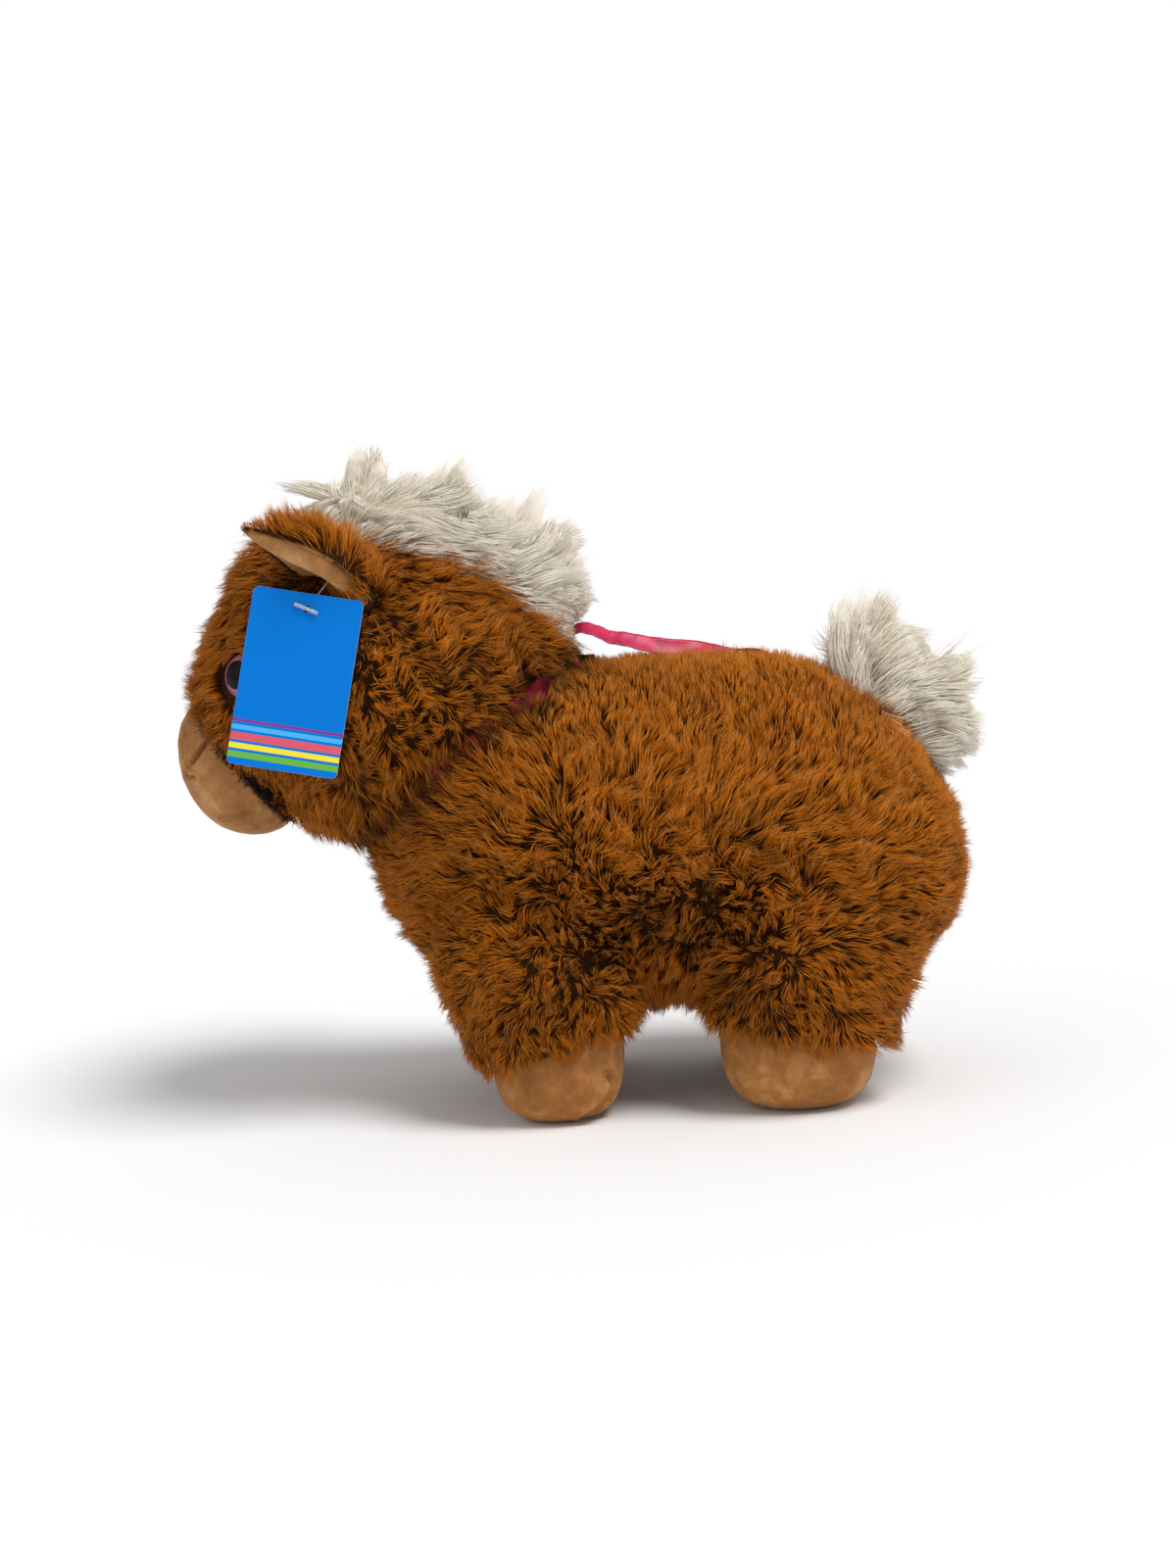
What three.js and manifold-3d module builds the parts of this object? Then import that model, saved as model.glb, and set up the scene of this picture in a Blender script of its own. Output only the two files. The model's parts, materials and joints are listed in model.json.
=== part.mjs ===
// Standing plush pony: stuffed fur forms, short-plush muzzle and hooves, lined ears, long white
// mane and tail, plastic safety eyes, a ribbon round the neck and a swing tag on the near ear.
// Millimetres, +Z up, head towards -X, near side towards -Y, floor at Z = 0.

import * as THREE from 'three';
import { mergeVertices } from 'three/addons/utils/BufferGeometryUtils.js';
import Module from 'manifold-3d';

const wasm = await Module();
wasm.setup();

// Clearance between pieces that touch
const seam = 0.3;

// Body
const bodyLength = 301;
const bodyHeight = 175;
const bodyWidth = 166;
const bellyHeight = 48;

// Neck: the crease between body and head, and the axis that the head turns about
const neckRadius = 65;
const neckTilt = 53.8;
const creaseWidth = 11;
const neckSwell = 5;
const neckOverlap = 3;

// Head, measured along the neck axis, from chin to nape, and across
const headLength = 153;
const headDepth = 164;
const headWidth = 156;

// Muzzle
const muzzleHeight = 77;
const muzzleWidth = 82;
const muzzleReach = 35;
const muzzleTilt = 33.5;

// Legs and hooves
const legSpread = 94;
const legWidth = 84;
const frontLegLength = 98;
const hindLegLength = 106;
const frontHoofLength = 66;
const hindHoofLength = 77;
const hoofWidth = 68;
const hoofHeight = 39;
const frontHemTilt = 16;
const hindHemTilt = -12;
const soleCut = 0.5;

// Ears
const earLength = 66;
const earWidth = 40;
const earCup = 13;
const earLiningThickness = 1.8;
const earRootRadius = 6;
const earRootLength = 14;
const earRootSink = 2;
const earDroop = 5;
const earLift = 20;

// Eyes
const eyeDiameter = 24;
const eyeDome = 8;
const eyeSink = 6;
const eyeRim = 1.5;
const postDiameter = 5;
const postLength = 15;
const washerDiameter = 18;
const washerThickness = 1.6;
const clothThickness = 2;

// Mane and tail
const maneWidth = 46;
const maneHeight = 24;
const maneLockLength = 34;
const maneLockGirth = 30;
const tailLength = 74;
const tailGirth = 34;
const tailRootRadius = 12;
const tailRootSink = 3;
const tailSwing = 12;

// Ribbon
const ribbonWidth = 10;
const ribbonThickness = 0.8;
const knotLength = 15;
const knotHigh = 4;
const knotRise = 8;
const ribbonLift = 1.1;

// Swing tag and its nylon fastener
const tagWidth = 53;
const tagHeight = 85;
const tagThickness = 0.6;
const tagCorner = 3;
const tagHoleDiameter = 3.6;
const tagHoleInset = 7.5;
const tagLean = 12;
const tagPitch = 8;
const threadDiameter = 0.9;
const threadLength = 32;
const barDiameter = 2;
const barLength = 12;
const faceBarTurn = -14;
const piercingDiameter = 3.6;

const furColour = 0x8f5212;
const plushColour = 0xb08457;
const silkColour = 0xe6dfcf;
const satinColour = 0xb8123f;
const cardColour = 0x0a80e0;

const furMaterial = new THREE.MeshStandardMaterial({ color: furColour, roughness: 0.95 });
const plushMaterial = new THREE.MeshStandardMaterial({ color: plushColour, roughness: 0.9 });
const silkMaterial = new THREE.MeshStandardMaterial({ color: silkColour, roughness: 0.7 });
const eyeMaterial = new THREE.MeshStandardMaterial({ color: 0x7a3a4c, roughness: 0.12 });
const washerMaterial = new THREE.MeshStandardMaterial({ color: 0xe8e8e4, roughness: 0.5 });
const satinMaterial = new THREE.MeshStandardMaterial({ color: satinColour, roughness: 0.35 });
const cardMaterial = new THREE.MeshStandardMaterial({ color: cardColour, roughness: 0.4 });
const nylonMaterial = new THREE.MeshStandardMaterial({ color: 0xd8e6f2, roughness: 0.25 });

const rad = THREE.MathUtils.degToRad;
const vec = (x, y, z) => new THREE.Vector3(x, y, z);
const sideways = vec(0, 1, 0);
const big = 600;

// Solids

function solidOf(geometry) {
  const bare = geometry.clone();
  bare.deleteAttribute('normal');
  bare.deleteAttribute('uv');
  const merged = mergeVertices(bare, 1e-4);
  return new wasm.Manifold(new wasm.Mesh({
    numProp: 3,
    vertProperties: new Float32Array(merged.attributes.position.array),
    triVerts: new Uint32Array(merged.index.array),
  }));
}

function geometryOf(solid) {
  const mesh = solid.getMesh();
  const geometry = new THREE.BufferGeometry();
  geometry.setAttribute('position', new THREE.BufferAttribute(new Float32Array(mesh.vertProperties), 3));
  geometry.setIndex(new THREE.BufferAttribute(new Uint32Array(mesh.triVerts), 1));
  geometry.computeVertexNormals();
  return geometry;
}

const turned = (geometry, matrix) => solidOf(geometry.clone().applyMatrix4(matrix));
const union = (solids) => solids.reduce((all, one) => all.add(one));
const without = (solid, cutters) => cutters.reduce((rest, one) => rest.subtract(one), solid);
const mirrored = (solid) => solid.mirror([0, 1, 0]);

// Frame with its local Z along `axis` and its local X as close as possible to `aside`
function frameAt(origin, axis, aside) {
  const z = axis.clone().normalize();
  const y = vec(0, 0, 0).crossVectors(z, aside).normalize();
  const x = vec(0, 0, 0).crossVectors(y, z);
  return new THREE.Matrix4().makeBasis(x, y, z).setPosition(origin);
}

// Closed skin through rings that all have the same number of points, with a vertex at each end
function skin(rings, startPoint, endPoint) {
  const count = rings[0].length;
  const points = [startPoint, ...rings.flat(), endPoint];
  const last = points.length - 1;
  const faces = [];
  for (let i = 0; i < count; i += 1) {
    const next = (i + 1) % count;
    faces.push(0, 1 + next, 1 + i);
    for (let r = 0; r < rings.length - 1; r += 1) {
      const a = 1 + r * count + i;
      const b = 1 + r * count + next;
      faces.push(a, b, a + count, b, b + count, a + count);
    }
    faces.push(last, last - count + i, last - count + next);
  }
  const geometry = new THREE.BufferGeometry().setFromPoints(points);
  geometry.setIndex(faces);
  return outward(geometry);
}

function outward(geometry) {
  const at = geometry.attributes.position;
  const index = geometry.index.array;
  const corner = (i) => vec(at.getX(index[i]), at.getY(index[i]), at.getZ(index[i]));
  let volume = 0;
  for (let i = 0; i < index.length; i += 3) {
    volume += corner(i).dot(corner(i + 1).cross(corner(i + 2)));
  }
  if (volume < 0) {
    for (let i = 0; i < index.length; i += 3) {
      [index[i + 1], index[i + 2]] = [index[i + 2], index[i + 1]];
    }
  }
  return geometry;
}

// A stuffed form swells and tapers through its stations. Each has a centre and two half-size
// vectors, and sections between them follow smooth curves through all three.
function stuffedForm(stations, { sides = 28, steps = 20, power = 2.2 } = {}) {
  const curve = (key) => new THREE.CatmullRomCurve3(stations.map((station) => station[key]));
  const centres = curve('centre');
  const ups = curve('up');
  const outs = curve('out');
  const round = (value) => Math.sign(value) * Math.abs(value) ** (2 / power);
  const grown = (half, extra) => half.clone().setLength(half.length() + extra);
  const at = (u, angle, extra = 0) => centres.getPoint(u)
    .addScaledVector(grown(ups.getPoint(u), extra), round(Math.cos(angle)))
    .addScaledVector(grown(outs.getPoint(u), extra), round(Math.sin(angle)));
  const normal = (u, angle) => {
    const along = at(u + 0.01, angle).sub(at(u - 0.01, angle));
    const around = at(u, angle + 0.02).sub(at(u, angle - 0.02));
    const out = along.cross(around).normalize();
    return out.dot(at(u, angle).sub(centres.getPoint(u))) < 0 ? out.negate() : out;
  };
  const solid = (extra = 0) => {
    const rings = [];
    for (let r = 0; r <= steps; r += 1) {
      const ring = [];
      for (let i = 0; i < sides; i += 1) {
        ring.push(at(r / steps, (i / sides) * 2 * Math.PI, extra));
      }
      rings.push(ring);
    }
    const start = centres.getPoint(0).addScaledVector(centres.getTangent(0), -extra);
    const end = centres.getPoint(1).addScaledVector(centres.getTangent(1), extra + seam);
    return solidOf(skin(rings, start, end));
  };
  return { at, normal, solid };
}

// Everything on the side of a plane that its normal points to
function beyond(point, normal) {
  const box = new THREE.BoxGeometry(big, big, big).translate(0, 0, big / 2);
  return turned(box, frameAt(point, normal, Math.abs(normal.y) > 0.9 ? vec(1, 0, 0) : sideways));
}

// Round bar along local Z, centred on the origin
const bar = (radius, length, sides = 16) => new THREE.CylinderGeometry(radius, radius, length, sides)
  .rotateX(Math.PI / 2);

// Body

const chestX = -bodyLength * 0.377;
const onBody = (alongShare, upShare) => vec(
  chestX + bodyLength * alongShare,
  0,
  bellyHeight + bodyHeight * upShare,
);
const neckCentre = onBody(0.173, 0.752);
const neckAxis = vec(-Math.cos(rad(neckTilt)), 0, Math.sin(rad(neckTilt)));
const napeward = vec(Math.sin(rad(neckTilt)), 0, Math.cos(rad(neckTilt)));
const onNeck = (along, towardNape) => neckCentre.clone()
  .addScaledVector(neckAxis, along)
  .addScaledVector(napeward, towardNape);

const section = (top, bottom, width) => ({
  centre: top.clone().add(bottom).multiplyScalar(0.5),
  up: top.clone().sub(bottom).multiplyScalar(0.5),
  out: vec(0, width / 2, 0),
});
const neckRing = (along, radius) => section(onNeck(along, radius), onNeck(along, -radius), 2 * radius);

const bodyForm = stuffedForm([
  neckRing(neckOverlap, neckRadius + neckSwell),
  section(onBody(0.381, 0.99), onBody(0, 0.5), bodyWidth * 0.86),
  section(onBody(0.453, 1), onBody(0.029, 0.32), bodyWidth * 0.94),
  section(onBody(0.528, 0.997), onBody(0.104, 0.12), bodyWidth * 0.99),
  section(onBody(0.609, 0.992), onBody(0.283, 0.022), bodyWidth),
  section(onBody(0.691, 0.98), onBody(0.463, 0.005), bodyWidth),
  section(onBody(0.779, 0.928), onBody(0.642, 0), bodyWidth),
  section(onBody(0.863, 0.815), onBody(0.788, 0.017), bodyWidth * 0.97),
  section(onBody(0.938, 0.68), onBody(0.902, 0.06), bodyWidth * 0.87),
  section(onBody(0.982, 0.54), onBody(0.967, 0.17), bodyWidth * 0.64),
  section(onBody(0.998, 0.42), onBody(0.994, 0.27), bodyWidth * 0.3),
], { sides: 30, steps: 18 });

// Crease all round the neck, as wide as the ribbon that lies in it
const creaseHalf = creaseWidth / 2;
const creaseReach = neckRadius * 1.4;
const creaseProfile = [
  [neckRadius, -creaseHalf],
  [creaseReach, -creaseHalf],
  [creaseReach, creaseHalf],
  [neckRadius, creaseHalf],
  [neckRadius, -creaseHalf],
].map(([radius, along]) => new THREE.Vector2(radius, along));
const aboutNeck = frameAt(neckCentre, neckAxis, sideways);
const crease = turned(
  new THREE.LatheGeometry(creaseProfile, 40).rotateX(Math.PI / 2),
  aboutNeck,
);
const headSide = (offset) => beyond(onNeck(offset, 0), neckAxis);
const bodySide = (offset) => beyond(onNeck(offset, 0), neckAxis.clone().negate());

// Legs and hooves

const frontLegX = onBody(0.306, 0).x;
const hindLegX = onBody(0.7, 0).x;
const flatSection = (x, y, z, halfLength, halfWidth) => ({
  centre: vec(x, y, z),
  up: vec(halfLength, 0, 0),
  out: vec(0, halfWidth, 0),
});

function legForm(x, lean, length) {
  const y = -legSpread / 2;
  const wide = legWidth / 2;
  const top = bellyHeight + bodyHeight * 0.36;
  return stuffedForm([
    flatSection(x + lean * 0.5, y, hoofHeight * 0.5, length * 0.36, wide * 0.84),
    flatSection(x + lean * 0.5, y, hoofHeight, length * 0.44, wide * 0.91),
    flatSection(x + lean * 0.7, y, hoofHeight * 1.5, length * 0.5, wide),
    flatSection(x + lean, y, hoofHeight * 2.1, length * 0.52, wide),
    flatSection(x + lean, y, top, length * 0.42, wide * 0.7),
  ], { sides: 22, steps: 7 });
}

function hoofForm(x, length) {
  const y = -legSpread / 2;
  const ring = (height, share) => flatSection(x, y, height, length / 2 * share, hoofWidth / 2 * share);
  return stuffedForm([
    ring(-soleCut, 0.34),
    ring(hoofHeight * 0.05, 0.62),
    ring(hoofHeight * 0.22, 0.86),
    ring(hoofHeight * 0.55, 0.99),
    ring(hoofHeight * 0.95, 1),
    ring(hoofHeight * 1.5, 0.9),
  ], { sides: 22, steps: 8, power: 2.3 });
}

function legAndHoof(x, lean, legLength, hoofLength, hemTilt) {
  const hem = vec(x, -legSpread / 2, hoofHeight);
  const up = vec(-Math.sin(rad(hemTilt)), 0, Math.cos(rad(hemTilt)));
  const above = beyond(hem.clone().addScaledVector(up, -seam / 2), up);
  const below = beyond(hem.clone().addScaledVector(up, seam / 2), up.clone().negate());
  const underFloor = beyond(vec(0, 0, 0), vec(0, 0, -1));
  const leg = without(legForm(x, lean, legLength).solid(), [bodyForm.solid(seam), below]);
  const hoof = without(hoofForm(x, hoofLength).solid(), [bodyForm.solid(seam), above, underFloor]);
  return { leg, hoof };
}

const front = legAndHoof(frontLegX, -8, frontLegLength, frontHoofLength, frontHemTilt);
const hind = legAndHoof(hindLegX, 10, hindLegLength, hindHoofLength, hindHemTilt);

// Head

const halfDepth = headDepth / 2;
const headRing = (along, middle, depth, width) => section(
  onNeck(headLength * along, halfDepth * (middle + depth)),
  onNeck(headLength * along, halfDepth * (middle - depth)),
  headWidth * width,
);
const headForm = stuffedForm([
  neckRing(-neckOverlap, neckRadius + neckSwell),
  headRing(0.052, -0.02, 0.93, 0.93),
  headRing(0.196, -0.1, 0.99, 0.98),
  headRing(0.392, -0.16, 1.01, 1),
  headRing(0.588, -0.28, 0.91, 0.93),
  headRing(0.752, -0.31, 0.68, 0.75),
  headRing(0.87, -0.24, 0.41, 0.52),
  headRing(0.95, -0.17, 0.21, 0.3),
  headRing(0.985, -0.14, 0.08, 0.11),
], { sides: 30, steps: 18 });

// Muzzle on a flat seam across the front of the head
const muzzleOut = vec(-Math.cos(rad(muzzleTilt)), 0, -Math.sin(rad(muzzleTilt)));
const muzzleDown = vec(Math.sin(rad(muzzleTilt)), 0, -Math.cos(rad(muzzleTilt)));
const muzzleCentre = onNeck(headLength * 0.445, -headDepth * 0.537);
const muzzleRing = (out, shift, height, width) => {
  const centre = muzzleCentre.clone()
    .addScaledVector(muzzleOut, muzzleReach * out)
    .addScaledVector(muzzleDown, muzzleHeight * shift);
  return {
    centre,
    up: muzzleDown.clone().multiplyScalar(muzzleHeight / 2 * height),
    out: vec(0, muzzleWidth / 2 * width, 0),
  };
};
const muzzleForm = stuffedForm([
  muzzleRing(-0.12, 0, 0.97, 0.97),
  muzzleRing(0.14, 0.005, 1.01, 1.01),
  muzzleRing(0.42, 0.015, 0.94, 0.96),
  muzzleRing(0.68, 0.03, 0.75, 0.79),
  muzzleRing(0.87, 0.05, 0.48, 0.53),
  muzzleRing(0.97, 0.06, 0.22, 0.25),
  muzzleRing(0.995, 0.065, 0.07, 0.08),
], { sides: 24, steps: 9 });
const muzzleSeam = (offset) => muzzleCentre.clone().addScaledVector(muzzleOut, offset);

// Ear, near side. Its root is gathered into the side of the head and its cup opens down and out.
const earU = 0.49;
const earAngle = rad(-60);
const earRoot = headForm.at(earU, earAngle, -earRootSink);
const earAlong = vec(-0.72, -0.14, 0.68).normalize();
const earOpen = vec(-0.496, -0.501, -0.709).projectOnPlane(earAlong).normalize();
const earAcross = vec(0, 0, 0).crossVectors(earAlong, earOpen);
const earShares = [
  { width: 0.34, cup: 0.5 },
  { width: 0.78, cup: 0.95 },
  { width: 1, cup: 1 },
  { width: 0.96, cup: 0.86 },
  { width: 0.7, cup: 0.6 },
  { width: 0.38, cup: 0.34 },
  { width: 0.13, cup: 0.16 },
];
const earWidths = new THREE.SplineCurve(earShares.map((share) => new THREE.Vector2(share.width, share.cup)));
const earSpine = (u) => earRoot.clone()
  .addScaledVector(earAlong, earLength * u)
  .addScaledVector(earOpen, earLength * 0.06 * u * u);

// One cupped sheet of the ear between two arcs, each as deep as a share of the cup less an inset
function earSheet(startU, endU, outer, inner, narrow) {
  const across = 9;
  const steps = 9;
  const rings = [];
  for (let r = 0; r <= steps; r += 1) {
    const u = startU + (endU - startU) * r / steps;
    const share = earWidths.getPoint(u);
    const arc = (cup) => {
      const half = earWidth / 2 * share.x - narrow - (outer.share - cup.share) * 2;
      const deep = earCup * share.y * cup.share - cup.inset;
      return Array.from({ length: across }, (_, i) => {
        const angle = Math.PI * (i / (across - 1) - 0.5);
        return earSpine(u)
          .addScaledVector(earAcross, half * Math.sin(angle))
          .addScaledVector(earOpen, -deep * Math.cos(angle));
      });
    };
    rings.push([...arc(outer), ...arc(inner).reverse()]);
  }
  return stripSkin(rings, across);
}

// Closed skin through crescent rings whose ends are capped by quads between their two arcs
function stripSkin(rings, across) {
  const count = rings[0].length;
  const faces = [];
  rings.slice(1).forEach((_, r) => {
    for (let i = 0; i < count; i += 1) {
      const a = r * count + i;
      const b = r * count + (i + 1) % count;
      faces.push(a, b, a + count, b, b + count, a + count);
    }
  });
  const lastRing = (rings.length - 1) * count;
  for (let i = 0; i < across - 1; i += 1) {
    const back = count - 1 - i;
    faces.push(i, back, i + 1, i + 1, back, back - 1);
    faces.push(lastRing + i, lastRing + i + 1, lastRing + back);
    faces.push(lastRing + i + 1, lastRing + back - 1, lastRing + back);
  }
  const geometry = new THREE.BufferGeometry().setFromPoints(rings.flat());
  geometry.setIndex(faces);
  return solidOf(outward(geometry));
}

const liningShare = 0.5;
const earAxis = vec(0, 1, 0);
const earRootFrame = (shift) => frameAt(earRoot.clone().addScaledVector(earAxis, shift), earAxis, vec(1, 0, 0));
const earRootShift = earRootLength * 0.14;
const earRoll = turned(bar(earRootRadius, earRootLength), earRootFrame(earRootShift));
const earSocket = turned(bar(earRootRadius + seam, earRootLength + 2 * seam), earRootFrame(earRootShift));

// The head as an ear meets it when it turns about its root
function turnedAbout(solid, pivot, axis, degrees) {
  const turn = new THREE.Matrix4().makeTranslation(pivot)
    .multiply(new THREE.Matrix4().makeRotationAxis(axis, rad(degrees)))
    .multiply(new THREE.Matrix4().makeTranslation(pivot.clone().negate()));
  return turned(geometryOf(solid), turn);
}
const headAround = headForm.solid(seam);
const headSwept = [-earLift, 0, earDroop].map((angle) => turnedAbout(headAround, earRoot, earAxis, angle));

// Where the tag's nylon thread pierces the ear, straight along the way that the cup opens
const pierceU = 0.28;
const pierceShare = earWidths.getPoint(pierceU);
const earBackDepth = earCup * pierceShare.y;
const pierceDepth = earBackDepth * (1 + liningShare) / 2;
const pierce = earSpine(pierceU).addScaledVector(earOpen, -pierceDepth);
const piercing = turned(
  bar(piercingDiameter / 2, earCup * 3, 12),
  frameAt(pierce, earOpen, vec(1, 0, 0)),
);

const earSolid = without(
  earSheet(0, 1, { share: 1, inset: 0 }, { share: liningShare, inset: 0 }, 0),
  headSwept,
).add(earRoll);
const earBackSolid = earSolid.subtract(piercing);
const liningClear = { share: liningShare, inset: seam };
const liningFace = { share: liningShare, inset: seam + earLiningThickness };
const earLiningSolid = without(
  earSheet(0.14, 0.93, liningClear, liningFace, earWidth * 0.05),
  [...headSwept, turned(bar(earRootRadius + seam, earWidth), earRootFrame(0))],
);
const farEarBack = mirrored(earSolid);
const farEarLining = mirrored(earLiningSolid);
const nearEarLining = earLiningSolid.subtract(piercing);

// Eyes

const eyeU = 0.532;
const eyeAngle = rad(-113);
const eyeOut = headForm.normal(eyeU, eyeAngle);
const eyeSeat = headForm.at(eyeU, eyeAngle, -eyeSink);
const eyeFrame = frameAt(eyeSeat, eyeOut, vec(1, 0, 0));
const eyeRadius = eyeDiameter / 2;
const postRadius = postDiameter / 2;
const revolve = (points, sides) => new THREE.LatheGeometry(
  points.map(([radius, height]) => new THREE.Vector2(radius, height)),
  sides,
).rotateX(Math.PI / 2);

// Plastic eye: low dome on a short rim, with a ribbed post behind
const domeCurve = Array.from({ length: 6 }, (_, i) => {
  const angle = (i / 6) * Math.PI / 2;
  return [eyeRadius * Math.cos(angle), eyeRim + (eyeDome - eyeRim) * Math.sin(angle)];
});
const eyeProfile = [
  [0, -postLength],
  [postRadius * 0.6, -postLength],
  [postRadius, -postLength * 0.8],
  [postRadius, 0],
  [eyeRadius * 0.94, 0],
  ...domeCurve,
  [0, eyeDome],
];
const eyeSolid = turned(revolve(eyeProfile, 18), eyeFrame);

const washerAt = -clothThickness - seam - washerThickness / 2;
const washerProfile = [
  [postRadius + seam, washerAt - washerThickness / 2],
  [washerDiameter / 2, washerAt - washerThickness / 2],
  [washerDiameter / 2, washerAt + washerThickness / 2],
  [postRadius + seam, washerAt + washerThickness / 2],
  [postRadius + seam, washerAt - washerThickness / 2],
];
const washerSolid = turned(revolve(washerProfile, 18), eyeFrame);

const pocketTop = -clothThickness;
const pocketFloor = washerAt - washerThickness / 2 - seam;
const eyeRecess = [
  [0, -postLength - seam],
  [postRadius + seam, -postLength - seam],
  [postRadius + seam, pocketFloor],
  [washerDiameter / 2 + seam, pocketFloor],
  [washerDiameter / 2 + seam, pocketTop],
  [postRadius + seam, pocketTop],
  [postRadius + seam, -seam],
  [eyeRadius + seam, -seam],
  [eyeRadius + seam * 4, eyeSink + eyeDome],
  [0, eyeSink + eyeDome],
];
const eyeSocket = turned(revolve(eyeRecess, 18), eyeFrame);

const muzzleSide = beyond(muzzleSeam(-seam / 2), muzzleOut);
const headSolid = without(headForm.solid(), [
  bodySide(seam / 2),
  crease,
  muzzleSide,
  eyeSocket,
  mirrored(eyeSocket),
  earSocket,
  mirrored(earSocket),
]);
const muzzleSolid = without(muzzleForm.solid(), [beyond(muzzleSeam(seam / 2), muzzleOut.clone().negate())]);

// Mane: a crest along the top of the head, with locks of long pile that stand up from it
const maneStart = 0.12;
const maneEnd = 0.82;
const maneStations = [
  { at: 0, high: 0.45, wide: 0.5 },
  { at: 0.2, high: 0.9, wide: 0.9 },
  { at: 0.5, high: 1, wide: 1 },
  { at: 0.8, high: 0.95, wide: 0.95 },
  { at: 1, high: 0.5, wide: 0.55 },
];
const maneU = (share) => maneStart + (maneEnd - maneStart) * share;
const maneForm = stuffedForm(maneStations.map(({ at, high, wide }) => ({
  centre: headForm.at(maneU(at), 0).addScaledVector(headForm.normal(maneU(at), 0), maneHeight * 0.25),
  up: headForm.normal(maneU(at), 0).multiplyScalar(maneHeight * high),
  out: vec(0, maneWidth / 2 * wide, 0),
})), { sides: 14, steps: 12, power: 2 });

// A lock of long pile: swells from its root and tapers to a bent tip
function lockForm(root, direction, bend, length, girth) {
  const shares = [
    { at: 0, wide: 0.6 },
    { at: 0.35, wide: 1 },
    { at: 0.7, wide: 0.72 },
    { at: 0.92, wide: 0.36 },
    { at: 1, wide: 0.12 },
  ];
  const aside = vec(0, 0, 0).crossVectors(direction, sideways);
  return stuffedForm(shares.map(({ at, wide }) => ({
    centre: root.clone()
      .addScaledVector(direction, length * at)
      .addScaledVector(bend, length * at * at),
    up: aside.clone().setLength(girth / 2 * wide),
    out: vec(0, girth / 2 * wide, 0).projectOnPlane(direction).setLength(girth / 2 * wide),
  })), { sides: 10, steps: 7, power: 2 }).solid();
}

const maneLocks = [
  { at: 0.08, reach: 1.15, lean: 0.12, aside: -0.1, girth: 0.8 },
  { at: 0.3, reach: 1.4, lean: -0.06, aside: 0.12, girth: 1 },
  { at: 0.52, reach: 1.25, lean: 0.04, aside: -0.1, girth: 0.93 },
  { at: 0.75, reach: 1.4, lean: 0, aside: 0.12, girth: 1 },
  { at: 0.93, reach: 0.85, lean: 0.15, aside: -0.05, girth: 0.8 },
].map(({ at, reach, lean, aside, girth }) => {
  const u = maneU(at);
  const up = headForm.normal(u, 0);
  const bend = neckAxis.clone().multiplyScalar(lean).add(vec(0, aside, 0));
  return lockForm(headForm.at(u, 0), up, bend, maneLockLength * reach, maneLockGirth * girth);
});
const maneSolid = without(union([maneForm.solid(), ...maneLocks]), [
  headForm.solid(seam),
  bodySide(creaseHalf + knotRise),
]);

// Tail: a tuft of long pile that fans out from a round root seated in the rump
const tailU = 0.75;
const tailRoot = bodyForm.at(tailU, 0, -tailRootSink);
const tailOut = bodyForm.normal(tailU, 0);
const tailBall = new THREE.SphereGeometry(tailRootRadius, 20, 12);
const tailSeat = new THREE.SphereGeometry(tailRootRadius + seam, 20, 12);
const atTailRoot = new THREE.Matrix4().makeTranslation(tailRoot);
const tailLocks = [
  { pitch: 68, yaw: 10, reach: 1, girth: 1 },
  { pitch: 52, yaw: -8, reach: 1.06, girth: 1.1 },
  { pitch: 30, yaw: 14, reach: 0.95, girth: 1 },
  { pitch: 4, yaw: -14, reach: 0.92, girth: 0.95 },
  { pitch: -8, yaw: 16, reach: 0.86, girth: 0.95 },
  { pitch: -34, yaw: -18, reach: 0.74, girth: 0.85 },
  { pitch: -48, yaw: 8, reach: 0.74, girth: 0.85 },
].map(({ pitch, yaw, reach, girth }) => {
  const direction = tailOut.clone()
    .applyAxisAngle(sideways, rad(-pitch))
    .multiplyScalar(Math.cos(rad(yaw)))
    .add(vec(0, Math.sin(rad(yaw)), 0))
    .normalize();
  const droop = vec(0, 0, -0.06);
  return lockForm(tailRoot, direction, droop, tailLength * reach, tailGirth * girth);
});
const bodySwept = [-tailSwing, 0, tailSwing]
  .map((angle) => turnedAbout(bodyForm.solid(seam), tailRoot, sideways, angle));
const tailSolid = without(union(tailLocks), bodySwept).add(turned(tailBall, atTailRoot));

const bodySolid = without(bodyForm.solid(), [headSide(-seam / 2), crease, turned(tailSeat, atTailRoot)]);

// Ribbon: a band in the neck crease, a knot at the nape and two ends

const bandInner = neckRadius + seam;
const bandOuter = bandInner + ribbonThickness;
const bandSolid = turned(revolve([
  [bandInner, -ribbonWidth / 2],
  [bandOuter, -ribbonWidth / 2],
  [bandOuter, ribbonWidth / 2],
  [bandInner, ribbonWidth / 2],
  [bandInner, -ribbonWidth / 2],
], 40), aboutNeck);

const knotMiddle = bandOuter + seam + knotHigh;
const knotRing = (y, share) => ({
  centre: onNeck(0, knotMiddle).add(vec(0, y, 0)),
  up: napeward.clone().multiplyScalar(knotHigh * share),
  out: neckAxis.clone().multiplyScalar(creaseHalf * share),
});
const knotSolid = stuffedForm([
  knotRing(-knotLength / 2, 0.35),
  knotRing(-knotLength * 0.36, 0.9),
  knotRing(0, 0.8),
  knotRing(knotLength * 0.36, 0.9),
  knotRing(knotLength / 2, 0.35),
], { sides: 12, steps: 8 }).solid();

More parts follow.
